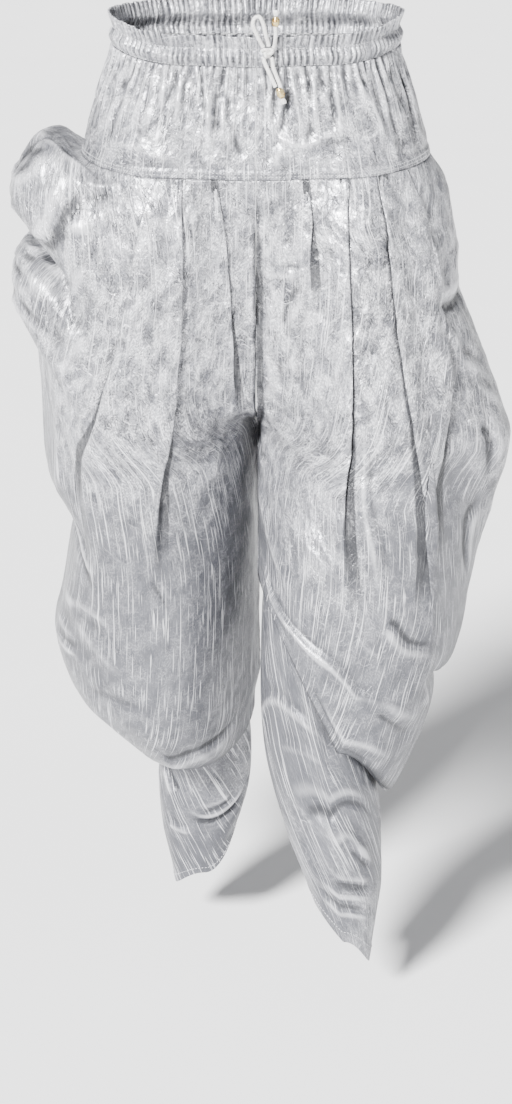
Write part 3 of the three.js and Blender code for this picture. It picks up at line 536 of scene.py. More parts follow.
# A smooth curve through values at uneven keys.
def through(keys, values, at):
    keys = np.asarray(keys, float)
    values = np.asarray(values, float)
    last = len(keys) - 1
    before = np.maximum(np.arange(last + 1) - 1, 0)
    after = np.minimum(np.arange(last + 1) + 1, last)
    slope = (values[after] - values[before]) / (keys[after] - keys[before])
    i = np.clip(np.searchsorted(keys, at, side="right") - 1, 0, last - 1)
    h = keys[i + 1] - keys[i]
    s = np.clip((at - keys[i]) / h, 0, 1)
    s2 = s * s
    s3 = s2 * s
    return ((2 * s3 - 3 * s2 + 1) * values[i] + (s3 - 2 * s2 + s) * h * slope[i]
            + (3 * s2 - 2 * s3) * values[i + 1] + (s3 - s2) * h * slope[i + 1])


def sectionAt(rows, at):
    keys = np.arange(len(rows))
    section = {name: through(keys, [row[i] for row in rows], at) for i, name in enumerate(sectionColumns)}
    section["spread"] = np.maximum(section["spread"], 0)
    section["round"] = np.clip(section["round"], 0, 1)
    return section


def blendTo(a, b, share):
    return a + (b - a) * share


# A point of a section: around runs from the middle front (0) over the front crown (1/4), the
# outer side (1/2) and the back crown (3/4) to the middle back (1).
def pointOn(section, around, lipEase):
    s = section
    quarter = np.minimum(np.floor(around * 4), 3)
    part = around * 4 - quarter
    sine = np.sin(part * math.pi / 2)
    cosine = np.cos(part * math.pi / 2)
    ease = (1 - np.cos(part * math.pi)) / 2
    outerFront = (blendTo(s["mid"], s["out"], sine), blendTo(s["side"], s["front"], cosine),
                  blendTo(s["zFront"], s["zOut"], ease))
    outerBack = (blendTo(s["mid"], s["out"], cosine), blendTo(s["side"], s["back"], sine),
                 blendTo(s["zOut"], s["zBack"], ease))
    isFront = quarter == 0
    way = np.where(isFront, part, 1 - part)
    flat = (1 - np.cos(way * math.pi)) / 2
    arcX = 1 - np.cos(way * math.pi / 2)
    arcY = np.sin(way * math.pi / 2)
    arcZ = blendTo(arcX, (flat + arcY) / 2, lipEase * 2)
    seamY = s["inY"] + np.where(isFront, -s["spread"], s["spread"])
    crownY = np.where(isFront, s["front"], s["back"])
    seamZ = np.where(isFront, s["zIn"], s["zInBack"])
    crownZ = np.where(isFront, s["zFront"], s["zBack"])
    inner = (blendTo(s["inn"], s["mid"], blendTo(way, arcX, s["round"])),
             blendTo(seamY, crownY, blendTo(flat, arcY, s["round"])),
             blendTo(seamZ, crownZ, blendTo(flat, arcZ, s["round"])))
    choice = [np.where(quarter == 1, a, np.where(quarter == 2, b, c))
              for a, b, c in zip(outerFront, outerBack, inner)]
    return np.stack(choice, axis=-1)


def legForm(leg, at, around):
    section = sectionAt(leg["rows"], at)
    point = pointOn(section, around, leg["lipEase"])
    keys = [row[0] for row in leg["folds"]]
    share = between(around, *leg["cowl"])
    outward = (through(keys, [row[1] for row in leg["folds"]], at) - section["out"]) * share
    angle = (around - 0.5) * 2 * math.pi
    point[..., 0] += outward * np.cos(angle)
    point[..., 1] += outward * np.sin(angle)
    point[..., 2] += (through(keys, [row[2] for row in leg["folds"]], at) - section["zOut"]) * share
    point[..., 0] *= leg["sign"]
    return point


# The way out of the cloth; where isSewn, it stays level near the top edge, as at a seam.
def wayOut(form, at, around, sign, ends, isSewn=True):
    turn = 0.004
    step = 0.02
    across = form(at, np.minimum(around + turn, 1)) - form(at, np.maximum(around - turn, 0))
    down = form(np.minimum(at + step, ends), around) - form(np.maximum(at - step, 0), around)
    down /= np.linalg.norm(down, axis=-1, keepdims=True) + 1e-9
    if isSewn:
        level = (1 - smoothstep(0, 0.25, at))[..., None]
        down = down * (1 - level) + np.array([0, 0, -1.0]) * level
    out = np.cross(across, down) * -sign
    return out / (np.linalg.norm(out, axis=-1, keepdims=True) + 1e-9)


# Length along each line of a grid of points, from its first.
def lengthsAlong(points, axis):
    steps = np.diff(points, axis=axis, prepend=np.take(points, [0], axis))
    return np.cumsum(np.linalg.norm(steps, axis=-1), axis)


# Length down the middle front at each row, from the first.
def frontLengths(rows):
    return np.concatenate([[0], np.cumsum(np.abs(np.diff([row[1] for row in rows])))])


# Smooth random heights from -1 to 1 over a cloth's flat place; sizes are in mm.
def clothNoise(u, v, sizeU, sizeV, seed):
    grid = np.random.default_rng(seed).uniform(-1, 1, (256, 256))
    x = u / sizeU + 1000
    y = v / sizeV + 1000
    i = np.floor(x).astype(int)
    j = np.floor(y).astype(int)
    s = x - i
    t = y - j
    s = s * s * (3 - 2 * s)
    t = t * t * (3 - 2 * t)
    a = grid[i % 256, j % 256] * (1 - s) + grid[(i + 1) % 256, j % 256] * s
    b = grid[i % 256, (j + 1) % 256] * (1 - s) + grid[(i + 1) % 256, (j + 1) % 256] * s
    return a * (1 - t) + b * t


# Crushed cloth: short sharp ridges that cross each other.
def crushedHeight(u, v, seed):
    total = 0
    for k, (size, height, turn) in enumerate([(34, 1.0, 0.5), (21, 0.7, -0.7), (13, 0.45, 1.3)]):
        x = u * math.cos(turn) + v * math.sin(turn)
        y = v * math.cos(turn) - u * math.sin(turn)
        total = total + height * (0.5 - 2 * np.abs(clothNoise(x, y, size, size * 1.6, seed + k)))
    return total


# Height of the listed creases at flat places (mm).
def creaseHeight(u, v, creases, flatPlace):
    total = np.zeros_like(u)
    for height, width, lean, points in creases:
        line = np.array([flatPlace(*p) for p in points])
        if len(line) > 2:
            keys = np.arange(len(line))
            dense = np.linspace(0, len(line) - 1, 4 * (len(line) - 1) + 1)
            line = np.stack([through(keys, line[:, 0], dense), through(keys, line[:, 1], dense)], axis=1)
        best = np.full(u.shape, 1e9)
        side = np.zeros_like(u)
        share = np.zeros_like(u)
        spans = len(line) - 1
        for i in range(spans):
            a, b = line[i], line[i + 1]
            dx, dy = b - a
            t = np.clip(((u - a[0]) * dx + (v - a[1]) * dy) / (dx * dx + dy * dy + 1e-9), 0, 1)
            gapU = u - a[0] - t * dx
            gapV = v - a[1] - t * dy
            distance = np.hypot(gapU, gapV)
            nearer = distance < best
            best = np.where(nearer, distance, best)
            side = np.where(nearer, np.sign(gapU * dy - gapV * dx), side)
            share = np.where(nearer, (i + t) / spans, share)
        taper = between(share, 0, 0.3, 0.65, 1)
        ridge = np.exp(-(best / width) ** 1.4)
        trough = np.exp(-np.abs((best * side - 1.7 * width * np.sign(lean)) / (1.3 * width)) ** 1.8)
        total += height * (ridge - abs(lean) * 0.7 * trough) * taper
    return total


# How far a height stands above (up to 1) or below (to -1) the cloth round it, for a painted
# highlight on crests and painted shade in folds.
def foldShade(height, reach, full):
    around = height
    for axis in (0, 1):
        sides = [(reach, reach) if k == axis else (0, 0) for k in (0, 1)]
        padded = np.pad(around, sides, mode="edge")
        count = height.shape[axis]
        around = sum(np.take(padded, np.arange(k, k + count), axis=axis) for k in range(2 * reach + 1))
        around = around / (2 * reach + 1)
    return np.clip((height - around) / full, -1, 1)


def addPiece(name, bm, material):
    mesh = bpy.data.meshes.new(name)
    bm.to_mesh(mesh)
    bm.free()
    mesh.materials.append(material)
    piece = bpy.data.objects.new(name, mesh)
    bpy.context.scene.collection.objects.link(piece)
    return piece


# Mesh of a grid of points (mm); flat is each point's place on the cut cloth, for the weave.
def gridMesh(name, points, flat, material, isTube, outward, crushAndSheen=None, shade=None):
    rows, columns = points.shape[:2]
    bm = bmesh.new()
    uvLayer = bm.loops.layers.uv.new("UVMap")
    # the crush share, which also sets the painted sheen, and the painted shade and highlight, for the
    # material
    crushLayer = bm.verts.layers.float.new("crushAndSheen")
    shadeLayer = bm.verts.layers.float.new("shade")
    bmesh.ops.create_grid(bm, x_segments=columns - 1, y_segments=rows - 1, size=1.0, calc_uvs=True)
    # the left side is cut from elsewhere on the cloth, so that it doesn't mirror the right side
    isLeft = float(points[..., 0].mean()) > 5
    start = clothSettings["leftStart"] if isLeft else 0
    places = {}
    for vert in bm.verts:
        c = round((vert.co.x + 1) / 2 * (columns - 1))
        r = round((vert.co.y + 1) / 2 * (rows - 1))
        places[vert.index] = (r, c)
        vert.co = points[r, c] * millimetre
        vert[crushLayer] = 0.0 if crushAndSheen is None else float(crushAndSheen[r, c])
        vert[shadeLayer] = 0.0 if shade is None else float(shade[r, c])
    for face in bm.faces:
        face.smooth = True
        for loop in face.loops:
            loop[uvLayer].uv = (flat[places[loop.vert.index]] + start) * millimetre
    if isTube:
        bmesh.ops.remove_doubles(bm, verts=bm.verts, dist=1e-6)
    bm.normal_update()
    if outward is not None:
        bm.faces.ensure_lookup_table()
        face = bm.faces[len(bm.faces) // 2]
        away = np.linalg.norm(points * millimetre - np.array(face.calc_center_median()), axis=-1)
        r, c = np.unravel_index(np.argmin(away), away.shape)
        if float(np.dot(np.array(face.normal), outward[r, c])) < 0:
            bmesh.ops.reverse_faces(bm, faces=bm.faces)
    return addPiece(name, bm, material)


# Width and length in metres and area in square metres of a grid of points (mm).
def measured(points):
    across = np.linalg.norm(np.diff(points, axis=1), axis=-1)
    down = np.linalg.norm(np.diff(points, axis=0), axis=-1)
    a = points[1:, :-1] - points[:-1, :-1]
    b = points[:-1, 1:] - points[:-1, :-1]
    c = points[1:, 1:] - points[:-1, 1:]
    d = points[1:, 1:] - points[1:, :-1]
    area = (np.linalg.norm(np.cross(a, b), axis=-1) + np.linalg.norm(np.cross(c, d), axis=-1)).sum() / 2
    return across.sum(axis=1).max() / 1000, down.sum(axis=0).max() / 1000, area / 1e6


# A sewn piece of cloth: a thin shell that stands for its CAD node.
def clothPiece(name, node, points, flat, crushAndSheen, shade, outward, isTube):
    piece = gridMesh(name, points, flat, dupion, isTube, outward, crushAndSheen, shade)
    shell = piece.modifiers.new("thickness", "SOLIDIFY")
    shell.thickness = clothSettings["thickness"] * millimetre
    shell.offset = -1
    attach(piece, "root")
    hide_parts(node)
    width, length, area = measured(points)
    area = min(area, width * length)
    print(f"{name}: {width:.3f} x {length:.3f} m, {area:.4f} m2, {len(piece.data.polygons)} faces")


# A row of sewing stitches along a line of points (mm) that lies on the cloth.
def addStitches(name, lines, settings):
    bm = bmesh.new()
    for line, out in lines:
        way = np.concatenate([[0], np.cumsum(np.linalg.norm(np.diff(line, axis=0), axis=1))])
        pitch = settings["length"] + settings["gap"]
        for start in np.arange(1.0, way[-1] - pitch, pitch):
            a = np.array([np.interp(start, way, line[:, k]) for k in range(3)])
            b = np.array([np.interp(start + settings["length"], way, line[:, k]) for k in range(3)])
            o = np.array([np.interp(start + pitch / 2, way, out[:, k]) for k in range(3)])
            along = Vector(b - a)
            middle = Vector((a + b) / 2 + o * settings["proud"]) * millimetre
            turn = along.to_track_quat("X", "Z").to_matrix().to_4x4()
            made = bmesh.ops.create_icosphere(bm, subdivisions=1, radius=1.0)["verts"]
            size = np.array([along.length / 2, settings["radius"], settings["radius"]]) * millimetre
            bmesh.ops.scale(bm, vec=size, verts=made)
            bmesh.ops.transform(bm, matrix=turn, verts=made)
            bmesh.ops.translate(bm, vec=middle, verts=made)
    for face in bm.faces:
        face.smooth = True
    piece = addPiece(name, bm, sewingThread)
    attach(piece, "root")


stitchSettings = {"length": 2.6, "gap": 1.1, "radius": 0.32, "proud": 0.15}


def pleatPlace(pleat, at):
    return through([0, 2, 4, 6], pleat[:4], np.minimum(at, 6))


# Columns of a leg from the middle front round to the middle back: a place for each row, and
# for the folds of the pleats their pleat, their way from its line and their share of its depth.
def legColumns(leg, at):
    turn = clothSettings["turnLength"]
    marks = [{"place": at * 0}]
    for i, pleat in enumerate(leg["pleats"]):
        if i == leg["backStarts"]:
            marks.append({"place": at * 0 + 0.5})
        marks.append({"place": pleatPlace(pleat, at), "pleat": i})
    marks.append({"place": at * 0 + 1})
    columns = []
    previous = None
    for mark in marks:
        made = []
        if "pleat" not in mark:
            made.append({"place": mark["place"]})
        else:
            pleat = leg["pleats"][mark["pleat"]]
            over = pleat[6]
            folded = 1 - smoothstep(pleat[4] * 0.4, pleat[4] - 0.4, at)
            spread = np.linspace(*foldWidth, len(pleatFold))
            for k, (way, share) in enumerate(pleatFold):
                t = blendTo(spread[k], way, folded)
                height = blendTo(float(smoothstep(-7, 7, spread[k])), share, folded)
                made.append({
                    "place": mark["place"] + over * t / turn, "pleat": mark["pleat"],
                    "share": height, "fold": k,
                })
            if over < 0:
                made.reverse()
        if previous is not None:
            gap = made[0]["place"] - previous["place"]
            middle = float(np.mean(made[0]["place"] + previous["place"])) / 2
            fine = clothSettings["sideColumns"]
            isFine = fine["from"] < middle < fine["to"]
            width = clothSettings["columnWidth"] * (fine["share"] if isFine else 1)
            parts = max(int(np.ceil(gap.max() * turn / width)), 1)
            for k in range(1, parts):
                columns.append({"place": previous["place"] + gap * k / parts})
        columns.extend(made)
        previous = made[-1]
    return columns


def pleatHeight(pleat, at):
    swell = blendTo(clothSettings["pleatStart"], 1, smoothstep(0, clothSettings["pleatSwell"], at))
    return pleat[5] * swell * (1 - smoothstep(pleat[4] - 1, pleat[4], at))


def buildLeg(side):
    leg = legSettings[side]
    sign = leg["sign"]
    turn = clothSettings["turnLength"]
    lip = clothSettings["lipRow"]
    at = np.linspace(0, clothSettings["tuckRow"], clothSettings["legRows"])
    tucked = np.linspace(lip + 0.05, clothSettings["tuckRow"], clothSettings["tuckRows"])
    at = np.sort(np.concatenate([at[at <= lip], tucked]))
    columns = legColumns(leg, at)
    around = np.clip(np.stack([c["place"] for c in columns], axis=1), 0, 1)
    atGrid = np.repeat(at[:, None], around.shape[1], axis=1)
    lift = np.zeros_like(around)
    for i, pleat in enumerate(leg["pleats"]):
        height = pleatHeight(pleat, at)
        place = pleatPlace(pleat, at)
        for c, column in enumerate(columns):
            way = (around[:, c] - place) * pleat[6] * turn
            back = 1 - smoothstep(0, clothSettings["pleatBack"], way)
            if column.get("pleat") == i:
                lift[:, c] = np.maximum(lift[:, c], height * column["share"] * back)
            else:
                lift[:, c] = np.maximum(lift[:, c], np.where(way > 0, height * back, 0))

    def form(a, r):
        return legForm(leg, a, r)

    base = form(atGrid, around)
    out = wayOut(form, atGrid, around, sign, clothSettings["tuckRow"])
    folded = base + out * lift[..., None]

    # flat places: for the weave from lengths on the cloth, for the creases from place and row
    flat = np.stack([lengthsAlong(folded, 1), lengthsAlong(base, 0)], axis=-1)
    keys = np.arange(len(leg["rows"]))
    drop = frontLengths(leg["rows"])
    placeU = around * turn
    placeV = np.interp(atGrid, keys, drop)

    # the cloth is crushed above the knees and smooth below, less round the outer side, and calm
    # where it is tucked in; its sheen is painted where it is crushed
    calm = 1 - smoothstep(7.6, 8.2, atGrid)
    top = smoothstep(0, 0.5, atGrid)
    edges = between(around, 0, 0.03, 0.97, 1)
    crushAndSheen = 1 - 0.8 * smoothstep(3.2, 5.2, atGrid + 1.2 * clothNoise(placeU, placeV, 120, 90, leg["seed"]))
    crushAndSheen *= 0.8 + 0.2 * (1 - smoothstep(0.33, 0.42, around)) + 0.2 * smoothstep(0.6, 0.68, around)
    crease = creaseHeight(placeU, placeV, leg["creases"],
                          lambda a, r: (r * turn, float(np.interp(a, keys, drop))))
    sway = clothNoise(placeU, placeV, 85, 330, leg["seed"] + 5) * 2.6
    sway = sway + clothNoise(placeU, placeV, 45, 160, leg["seed"] + 6) * 1.2
    relief = crushedHeight(placeU, placeV, leg["seed"] + 9) * (0.25 + 1.45 * crushAndSheen)
    move = (crease + sway * edges + relief) * calm * top
    move = np.clip(move, clothSettings["deepest"], clothSettings["highest"])
    points = folded + out * move[..., None]

    # each leg keeps to its side of the middle seam, and under the seam the right one's inner
    # side leans over to the left one
    gap = clothSettings["seamGap"] / 2
    points[..., 0] = sign * np.maximum(points[..., 0] * sign, gap + 0.1)
    closed = between(atGrid, 3.6, 4.3, 6.8, 7.5)
    inside = 1 - smoothstep(0, 0.16, np.minimum(around, 1 - around))
    points[..., 0] -= sign * leg["crossing"] * closed * inside

    # painted shade in the troughs and a painted highlight on the crests of the creases and crushing, then
    # along the pleats
    shade = foldShade(crease + sway * edges, 3, 1.8) + 0.3 * foldShade(relief, 3, 1.1)
    for c, column in enumerate(columns):
        if "pleat" in column:
            shut = 1 - smoothstep(*leg["pleats"][column["pleat"]][4] * np.array([0.75, 0.97]), at)
            shade[:, c] = blendTo(shade[:, c], pleatShade[column["fold"]], shut)
    # painted shade under the lip, between the legs, and in the seam in front
    shade -= 0.9 * smoothstep(7.7, 8.05, atGrid)
    seam = 1 - smoothstep(0, 0.045, np.minimum(around, 1 - around))
    shade -= 0.8 * seam * between(atGrid, 3.1, 3.8, 6, 6.8)
    rise = 1 - smoothstep(0.005, 0.02, around)
    shade -= 0.7 * rise * between(atGrid, 0, 1.2, 3.2, 3.8)

    def hiddenTurn(pleat):
        return next(i for i, c in enumerate(columns) if c.get("pleat") == pleat and c["fold"] == foldBottom)

    front = hiddenTurn(leg["frontEnds"])
    back = hiddenTurn(leg["backStarts"])
    for part, start, end in (("front", 0, front), ("side", front, back), ("back", back, len(columns) - 1)):
        cut = slice(start, end + 1)
        clothPiece(f"{side}{part.capitalize()}Panel", f"{side}_{part}", points[:, cut], flat[:, cut],
                   calm[:, cut] * crushAndSheen[:, cut], shade[:, cut], out[:, cut], False)


# Place round a section of a share of the way round the waist.
def evenAround(share):
    crown = clothSettings["crownShare"]
    middle = 0.25 + (share - crown) / (1 - 2 * crown) * 0.5
    return np.where(share < crown, share / crown * 0.25,
                    np.where(share > 1 - crown, 1 - (1 - share) / crown * 0.25, middle))


yokeSettings = {
    "rows": 66, "columns": 300, "gathers": 50, "halfTurn": 400.0, "height": 110.0, "rowHeight": 37.0,
    "bandHeight": 9.0, "bandRise": 0.8, "deepest": -3, "highest": 4.2, "seed": 5,
    # creases as on the legs, with points in mm from the middle front and from the top
    "creases": {
        "right": [
            (-2.6, 4, 0.6, [(32, 14), (21, 60), (7, 100)]), (2.6, 4, 0.7, [(54, 6), (45, 40), (40, 78)]),
            (-2.4, 4, 0.6, [(76, 4), (85, 40), (97, 72)]), (2.4, 5, 0.6, [(118, 8), (139, 50), (150, 88)]),
            (-2.6, 5, 0.6, [(165, 10), (186, 62)]), (2.2, 6, 0.5, [(58, 97), (108, 82), (160, 90)]),
            (-2.4, 5, 0.6, [(250, 10), (244, 70)]), (2.4, 5, 0.6, [(310, 8), (322, 80)]),
        ],
        "left": [
            (-2.8, 4, 0.6, [(34, 12), (22, 60), (8, 98)]), (2.8, 5, 0.6, [(9, 58), (40, 76), (76, 60)]),
            (-3.2, 8, 0.4, [(42, 48), (62, 76), (88, 68)]), (-2.6, 4, 0.6, [(60, 5), (71, 40), (66, 70)]),
            (2.6, 4, 0.7, [(96, 6), (111, 45), (121, 92)]), (-2.4, 5, 0.6, [(140, 6), (151, 62)]),
            (2.4, 5, 0.6, [(236, 10), (250, 82)]), (-2.4, 5, 0.6, [(322, 6), (312, 74)]),
        ],
    },
}


def buildYoke(side, sign):
    s = yokeSettings
    rng = np.random.default_rng(s["seed"] + sign)
    at = np.linspace(0, 3, s["rows"])
    share = np.linspace(0, 1, s["columns"])
    atGrid, shareGrid = np.meshgrid(at, share, indexing="ij")
    around = evenAround(shareGrid)

    def form(a, r):
        return pointOn(sectionAt(yokeRows, a), r, 0) * np.array([sign, 1, 1])

    base = form(atGrid, around)
    out = wayOut(form, atGrid * 0 + 1e-3, around, sign, 3)
    u = shareGrid * s["halfTurn"]
    v = atGrid * s["rowHeight"]
    move = np.zeros_like(u)
    for i in range(s["gathers"]):
        start = (i + 0.5 + rng.uniform(-0.3, 0.3)) / s["gathers"] * s["halfTurn"]
        slant = rng.normal(0, 9)
        length = rng.uniform(35, 125) if i % 3 else rng.uniform(70, 150)
        depth = rng.uniform(1.8, 3.6)
        width = 1.9 + 3.2 * v / s["height"]
        fade = np.clip(1 - v / length, 0, 1) ** 0.8
        aside = u - start - slant * v / s["height"]
        move += depth * fade * np.exp(-(aside / width) ** 2)
        if i % 2:
            lean = (aside - 1.9 * width * np.sign(slant)) / width
            move -= depth * 0.7 * fade * np.exp(-lean ** 2)
    band = 3 - s["bandHeight"] / s["rowHeight"]
    plain = 1 - smoothstep(band - 0.25, band, atGrid)
    ends = between(shareGrid, 0, 0.012, 0.988, 1)
    relief = crushedHeight(u + 300 * sign, v, s["seed"] + 3) * 1.1
    relief += creaseHeight(u, v, s["creases"][side], lambda across, down: (across, down))
    move += relief * smoothstep(0, 0.3, atGrid)
    move = np.clip(move, s["deepest"], s["highest"]) * (0.15 + 0.85 * plain) * (0.3 + 0.7 * ends)
    move += s["bandRise"] * smoothstep(band - 0.02, band + 0.02, atGrid)
    points = base + out * move[..., None]
    points[-1, :, 2] += clothSettings["seamGap"]
    points[..., 0] = sign * np.maximum(points[..., 0] * sign, 0.25)
    flat = np.stack([u, v], axis=-1)
    # less crushed on the band along the lower seam, with less painted sheen there
    crushAndSheen = 0.55 + 0.45 * plain
    name = f"yoke{side.capitalize()}"
    # painted shade and highlight on the gathers and creases
    shade = foldShade(move, 4, 1.5)
    clothPiece(name, f"yoke_{side}", points, flat, crushAndSheen, shade, out, False)
    lines = []
    for row in (band + 0.05, 2.93):
        r = int(np.argmin(np.abs(at - row)))
        lines.append((points[r, 2:-2], out[r, 2:-2]))
    addStitches(f"{name}Stitches", lines, stitchSettings)


waistSettings = {
    "gathers": 130, "perGather": 8, "rows": 30, "depth": 2.7, "turnLength": 800.0, "height": 33.0, "seed": 3,
    "puff": [  # row, and how full the gathers are there: the frill, the stitch row, the elastic
        (0, 1.1), (0.45, 0.9), (0.9, 0.5), (1, 0.2), (1.12, 0.6), (1.7, 1.0), (2.3, 1.0), (2.86, 0.6),
        (2.93, 0.25), (3, 0.5),
    ],
    "stitchRows": (1, 2.93),
    "stitchLength": 2.2,
}


def buildWaistband():
    s = waistSettings
    count = s["gathers"] * s["perGather"]
    at = np.linspace(0, 3, s["rows"])
    turn = np.linspace(0, 2, count + 1)
    atGrid, turnGrid = np.meshgrid(at, turn, indexing="ij")
    sign = np.where(turnGrid < 1, 1.0, -1.0)
    around = evenAround(np.where(turnGrid < 1, turnGrid, 2 - turnGrid))
    signs = np.stack([sign, np.ones_like(sign), np.ones_like(sign)], axis=-1)

    def form(a, r):
        return pointOn(sectionAt(waistRows, a), r, 0) * signs

    base = form(atGrid, around)
    turnStep = 0.004
    across = form(atGrid, np.minimum(around + turnStep, 1)) - form(atGrid, np.maximum(around - turnStep, 0))
    out = np.cross(across, np.array([0, 0, -1.0])) * -sign[..., None]
    out /= np.linalg.norm(out, axis=-1, keepdims=True)
    u = turnGrid / 2 * s["turnLength"]
    v = atGrid / 3 * s["height"]
    uLoop = np.where(turnGrid > 1.999999, 0, u)
    drift = clothNoise(uLoop, v, 14, 60, s["seed"]) * 1.6 + clothNoise(uLoop, v, 7, 9, s["seed"] + 1) * 0.7
    fade = between(turnGrid, 0, 0.02, 1.98, 2)
    phase = turnGrid / 2 * s["gathers"] * 2 * math.pi + drift * fade
    ripple = (0.5 + 0.5 * np.cos(phase)) ** 0.75
    amplitude = np.interp(at, *zip(*s["puff"]))
    uneven = 0.75 + 0.35 * clothNoise(uLoop, v, 11, 25, s["seed"] + 2)
    move = s["depth"] * amplitude[:, None] * ripple * uneven - 0.3
    points = base + out * move[..., None]
    points[..., 2] += (1 - smoothstep(0, 0.8, atGrid)) * clothNoise(uLoop, v, 6, 400, s["seed"] + 4) * 0.9
    points[:, -1] = points[:, 0]
    # evenly crushed, with an even painted sheen; painted shade and highlight on the gathers below
    crushAndSheen = np.full(u.shape, 0.8)
    flat = np.stack([u, v], axis=-1)
    clothPiece("waistbandCloth", "waistband", points, flat, crushAndSheen, foldShade(move, 4, 1.4), out, True)
    lines = []
    for row in s["stitchRows"]:
        r = int(np.argmin(np.abs(at - row)))
        lines.append((points[r], out[r]))
    addStitches("waistbandStitches", lines, {**stitchSettings, "length": s["stitchLength"]})


# The wrapped cuffs: rows run from the tuck (0) to the hem (4), and creases are as on the legs.
cuffForm = {
    "firstRow": 0.02, "hem": 4, "hemTurning": 3.8, "stitchRow": 3.825, "rows": 84, "hemRows": 8,
    "columns": 169, "turnLength": 300.0, "creaseGain": 1.6, "deepest": -5, "highest": 5,
}
cuffSettings = {
    "right": {
        "creases": [
            (-3.2, 4, 0.8, [(1.0, 0.42), (1.5, 0.37), (1.75, 0.34)]),
            (-3.4, 5, 0.9, [(1.9, 0.03), (2.3, 0.12), (2.4, 0.24), (2.2, 0.34)]),
            (-2.2, 4, 0.8, [(2.0, 0.13), (2.1, 0.2), (2.15, 0.29)]),
            (1.8, 4, 0.7, [(2.7, 0.28), (2.6, 0.36), (2.5, 0.4)]),
            (1.2, 5, 0.7, [(0.5, 0.2), (0.9, 0.28), (1.2, 0.35)]),
            (-2.2, 5, 0.7, [(1.2, 0.62), (1.6, 0.7), (1.8, 0.82)]),
            (2.0, 5, 0.7, [(1.8, 0.6), (2.2, 0.7), (2.3, 0.85)]),
            (1.6, 5, 0.7, [(2.8, 0.6), (3.0, 0.7), (2.9, 0.82)]),
        ],
        "seed": 41, "shear": 0.45, "shadowTo": 1.2,
    },
    "left": {
        "creases": [
            (-3.0, 6, 0.7, [(2.5, 0.16), (1.96, 0.22), (1.53, 0.31), (1.25, 0.44)]),
            (1.8, 2.5, 0.6, [(1.95, 0.03), (1.62, 0.067), (1.11, 0.183), (0.4, 0.25)]),
            (1.4, 2.5, 0.6, [(1.9, 0.1), (1.45, 0.19), (0.9, 0.26)]),
            (2.6, 10, 0.4, [(2.6, 0.22), (2.1, 0.285), (2.35, 0.34), (2.7, 0.31)]),
            (-2.4, 4, 0.7, [(2.3, 0.3), (2.5, 0.337), (2.65, 0.39)]),
            (-2.0, 4, 0.7, [(2.91, 0.216), (3.0, 0.289), (2.97, 0.42)]),
            (2.2, 4, 0.8, [(3.5, 0.15), (3.5, 0.266), (3.44, 0.42)]),
            (1.8, 4, 0.8, [(3.15, 0.18), (3.2, 0.28), (3.15, 0.4)]),
            (-2.0, 5, 0.7, [(1.0, 0.62), (1.2, 0.72), (1.1, 0.85)]),
            (2.4, 6, 0.7, [(1.8, 0.6), (2.0, 0.72), (1.9, 0.85)]),
            (2.0, 5, 0.7, [(2.9, 0.58), (3.1, 0.7), (3.0, 0.85)]),
        ],
        "seed": 57, "shear": -0.4, "shadowTo": 0.9,
    },
}


def buildCuff(side):
    leg = legSettings[side]
    own = cuffSettings[side]
    sign = leg["sign"]
    s = cuffForm
    at = np.concatenate([np.linspace(s["firstRow"], s["hemTurning"], s["rows"]),
                         np.linspace(s["stitchRow"], s["hem"], s["hemRows"])])
    around = np.linspace(0, 1, s["columns"])
    atGrid, aroundGrid = np.meshgrid(at, around, indexing="ij")

    def form(a, r):
        return pointOn(sectionAt(leg["cuff"], a), r, leg["lipEase"]) * np.array([sign, 1, 1])

    base = form(atGrid, aroundGrid)
    out = wayOut(form, atGrid, aroundGrid, sign, s["hem"], isSewn=False)
    out[:, -1] = out[:, 0]
    keys = np.arange(len(leg["cuff"]))
    drop = frontLengths(leg["cuff"])
    u = aroundGrid * s["turnLength"]
    v = np.interp(atGrid, keys, drop)
    crease = creaseHeight(u, v, own["creases"],
                          lambda a, r: (r * s["turnLength"], float(np.interp(a, keys, drop))))
    ends = between(aroundGrid, 0, 0.04, 0.96, 1)
    # less crushed than the legs and unevenly, with less painted sheen
    crushAndSheen = 0.35 + 0.35 * clothNoise(u, v, 60, 50, own["seed"])
    relief = crushedHeight(u, v, own["seed"] + 2) * 0.5 + clothNoise(u, v, 40, 60, own["seed"] + 7) * 1.2
    free = smoothstep(0.1, 0.6, atGrid) * (1 - 0.7 * smoothstep(3.5, 3.8, atGrid))
    move = np.clip((crease * s["creaseGain"] + relief * ends) * free, s["deepest"], s["highest"])
    move += 0.7 * smoothstep(s["hemTurning"] - 0.01, s["hemTurning"] + 0.03, atGrid)
    points = base + out * move[..., None]
    points[:, -1] = points[:, 0]
    flat = np.stack([u + own["shear"] * v, v], axis=-1)
    name = f"{side}Cuff"
    # painted shade and highlight on the creases, and a painted shadow under the lip at the top of the cuff
    shade = 0.8 * foldShade(move, 4, 2.2) - 0.7 * (1 - smoothstep(0.1, own["shadowTo"], atGrid))
    clothPiece(name, f"{side}_cuff", points, flat, crushAndSheen * ends + 0.3 * (1 - ends), shade, out,
               True)
    row = int(np.argmin(np.abs(at - s["stitchRow"])))
    addStitches(f"{name}Stitches", [(points[row], out[row])], stitchSettings)


buildWaistband()
buildYoke("right", -1)
buildYoke("left", 1)
buildLeg("right")
buildLeg("left")
buildCuff("right")
buildCuff("left")
print("cloth made")

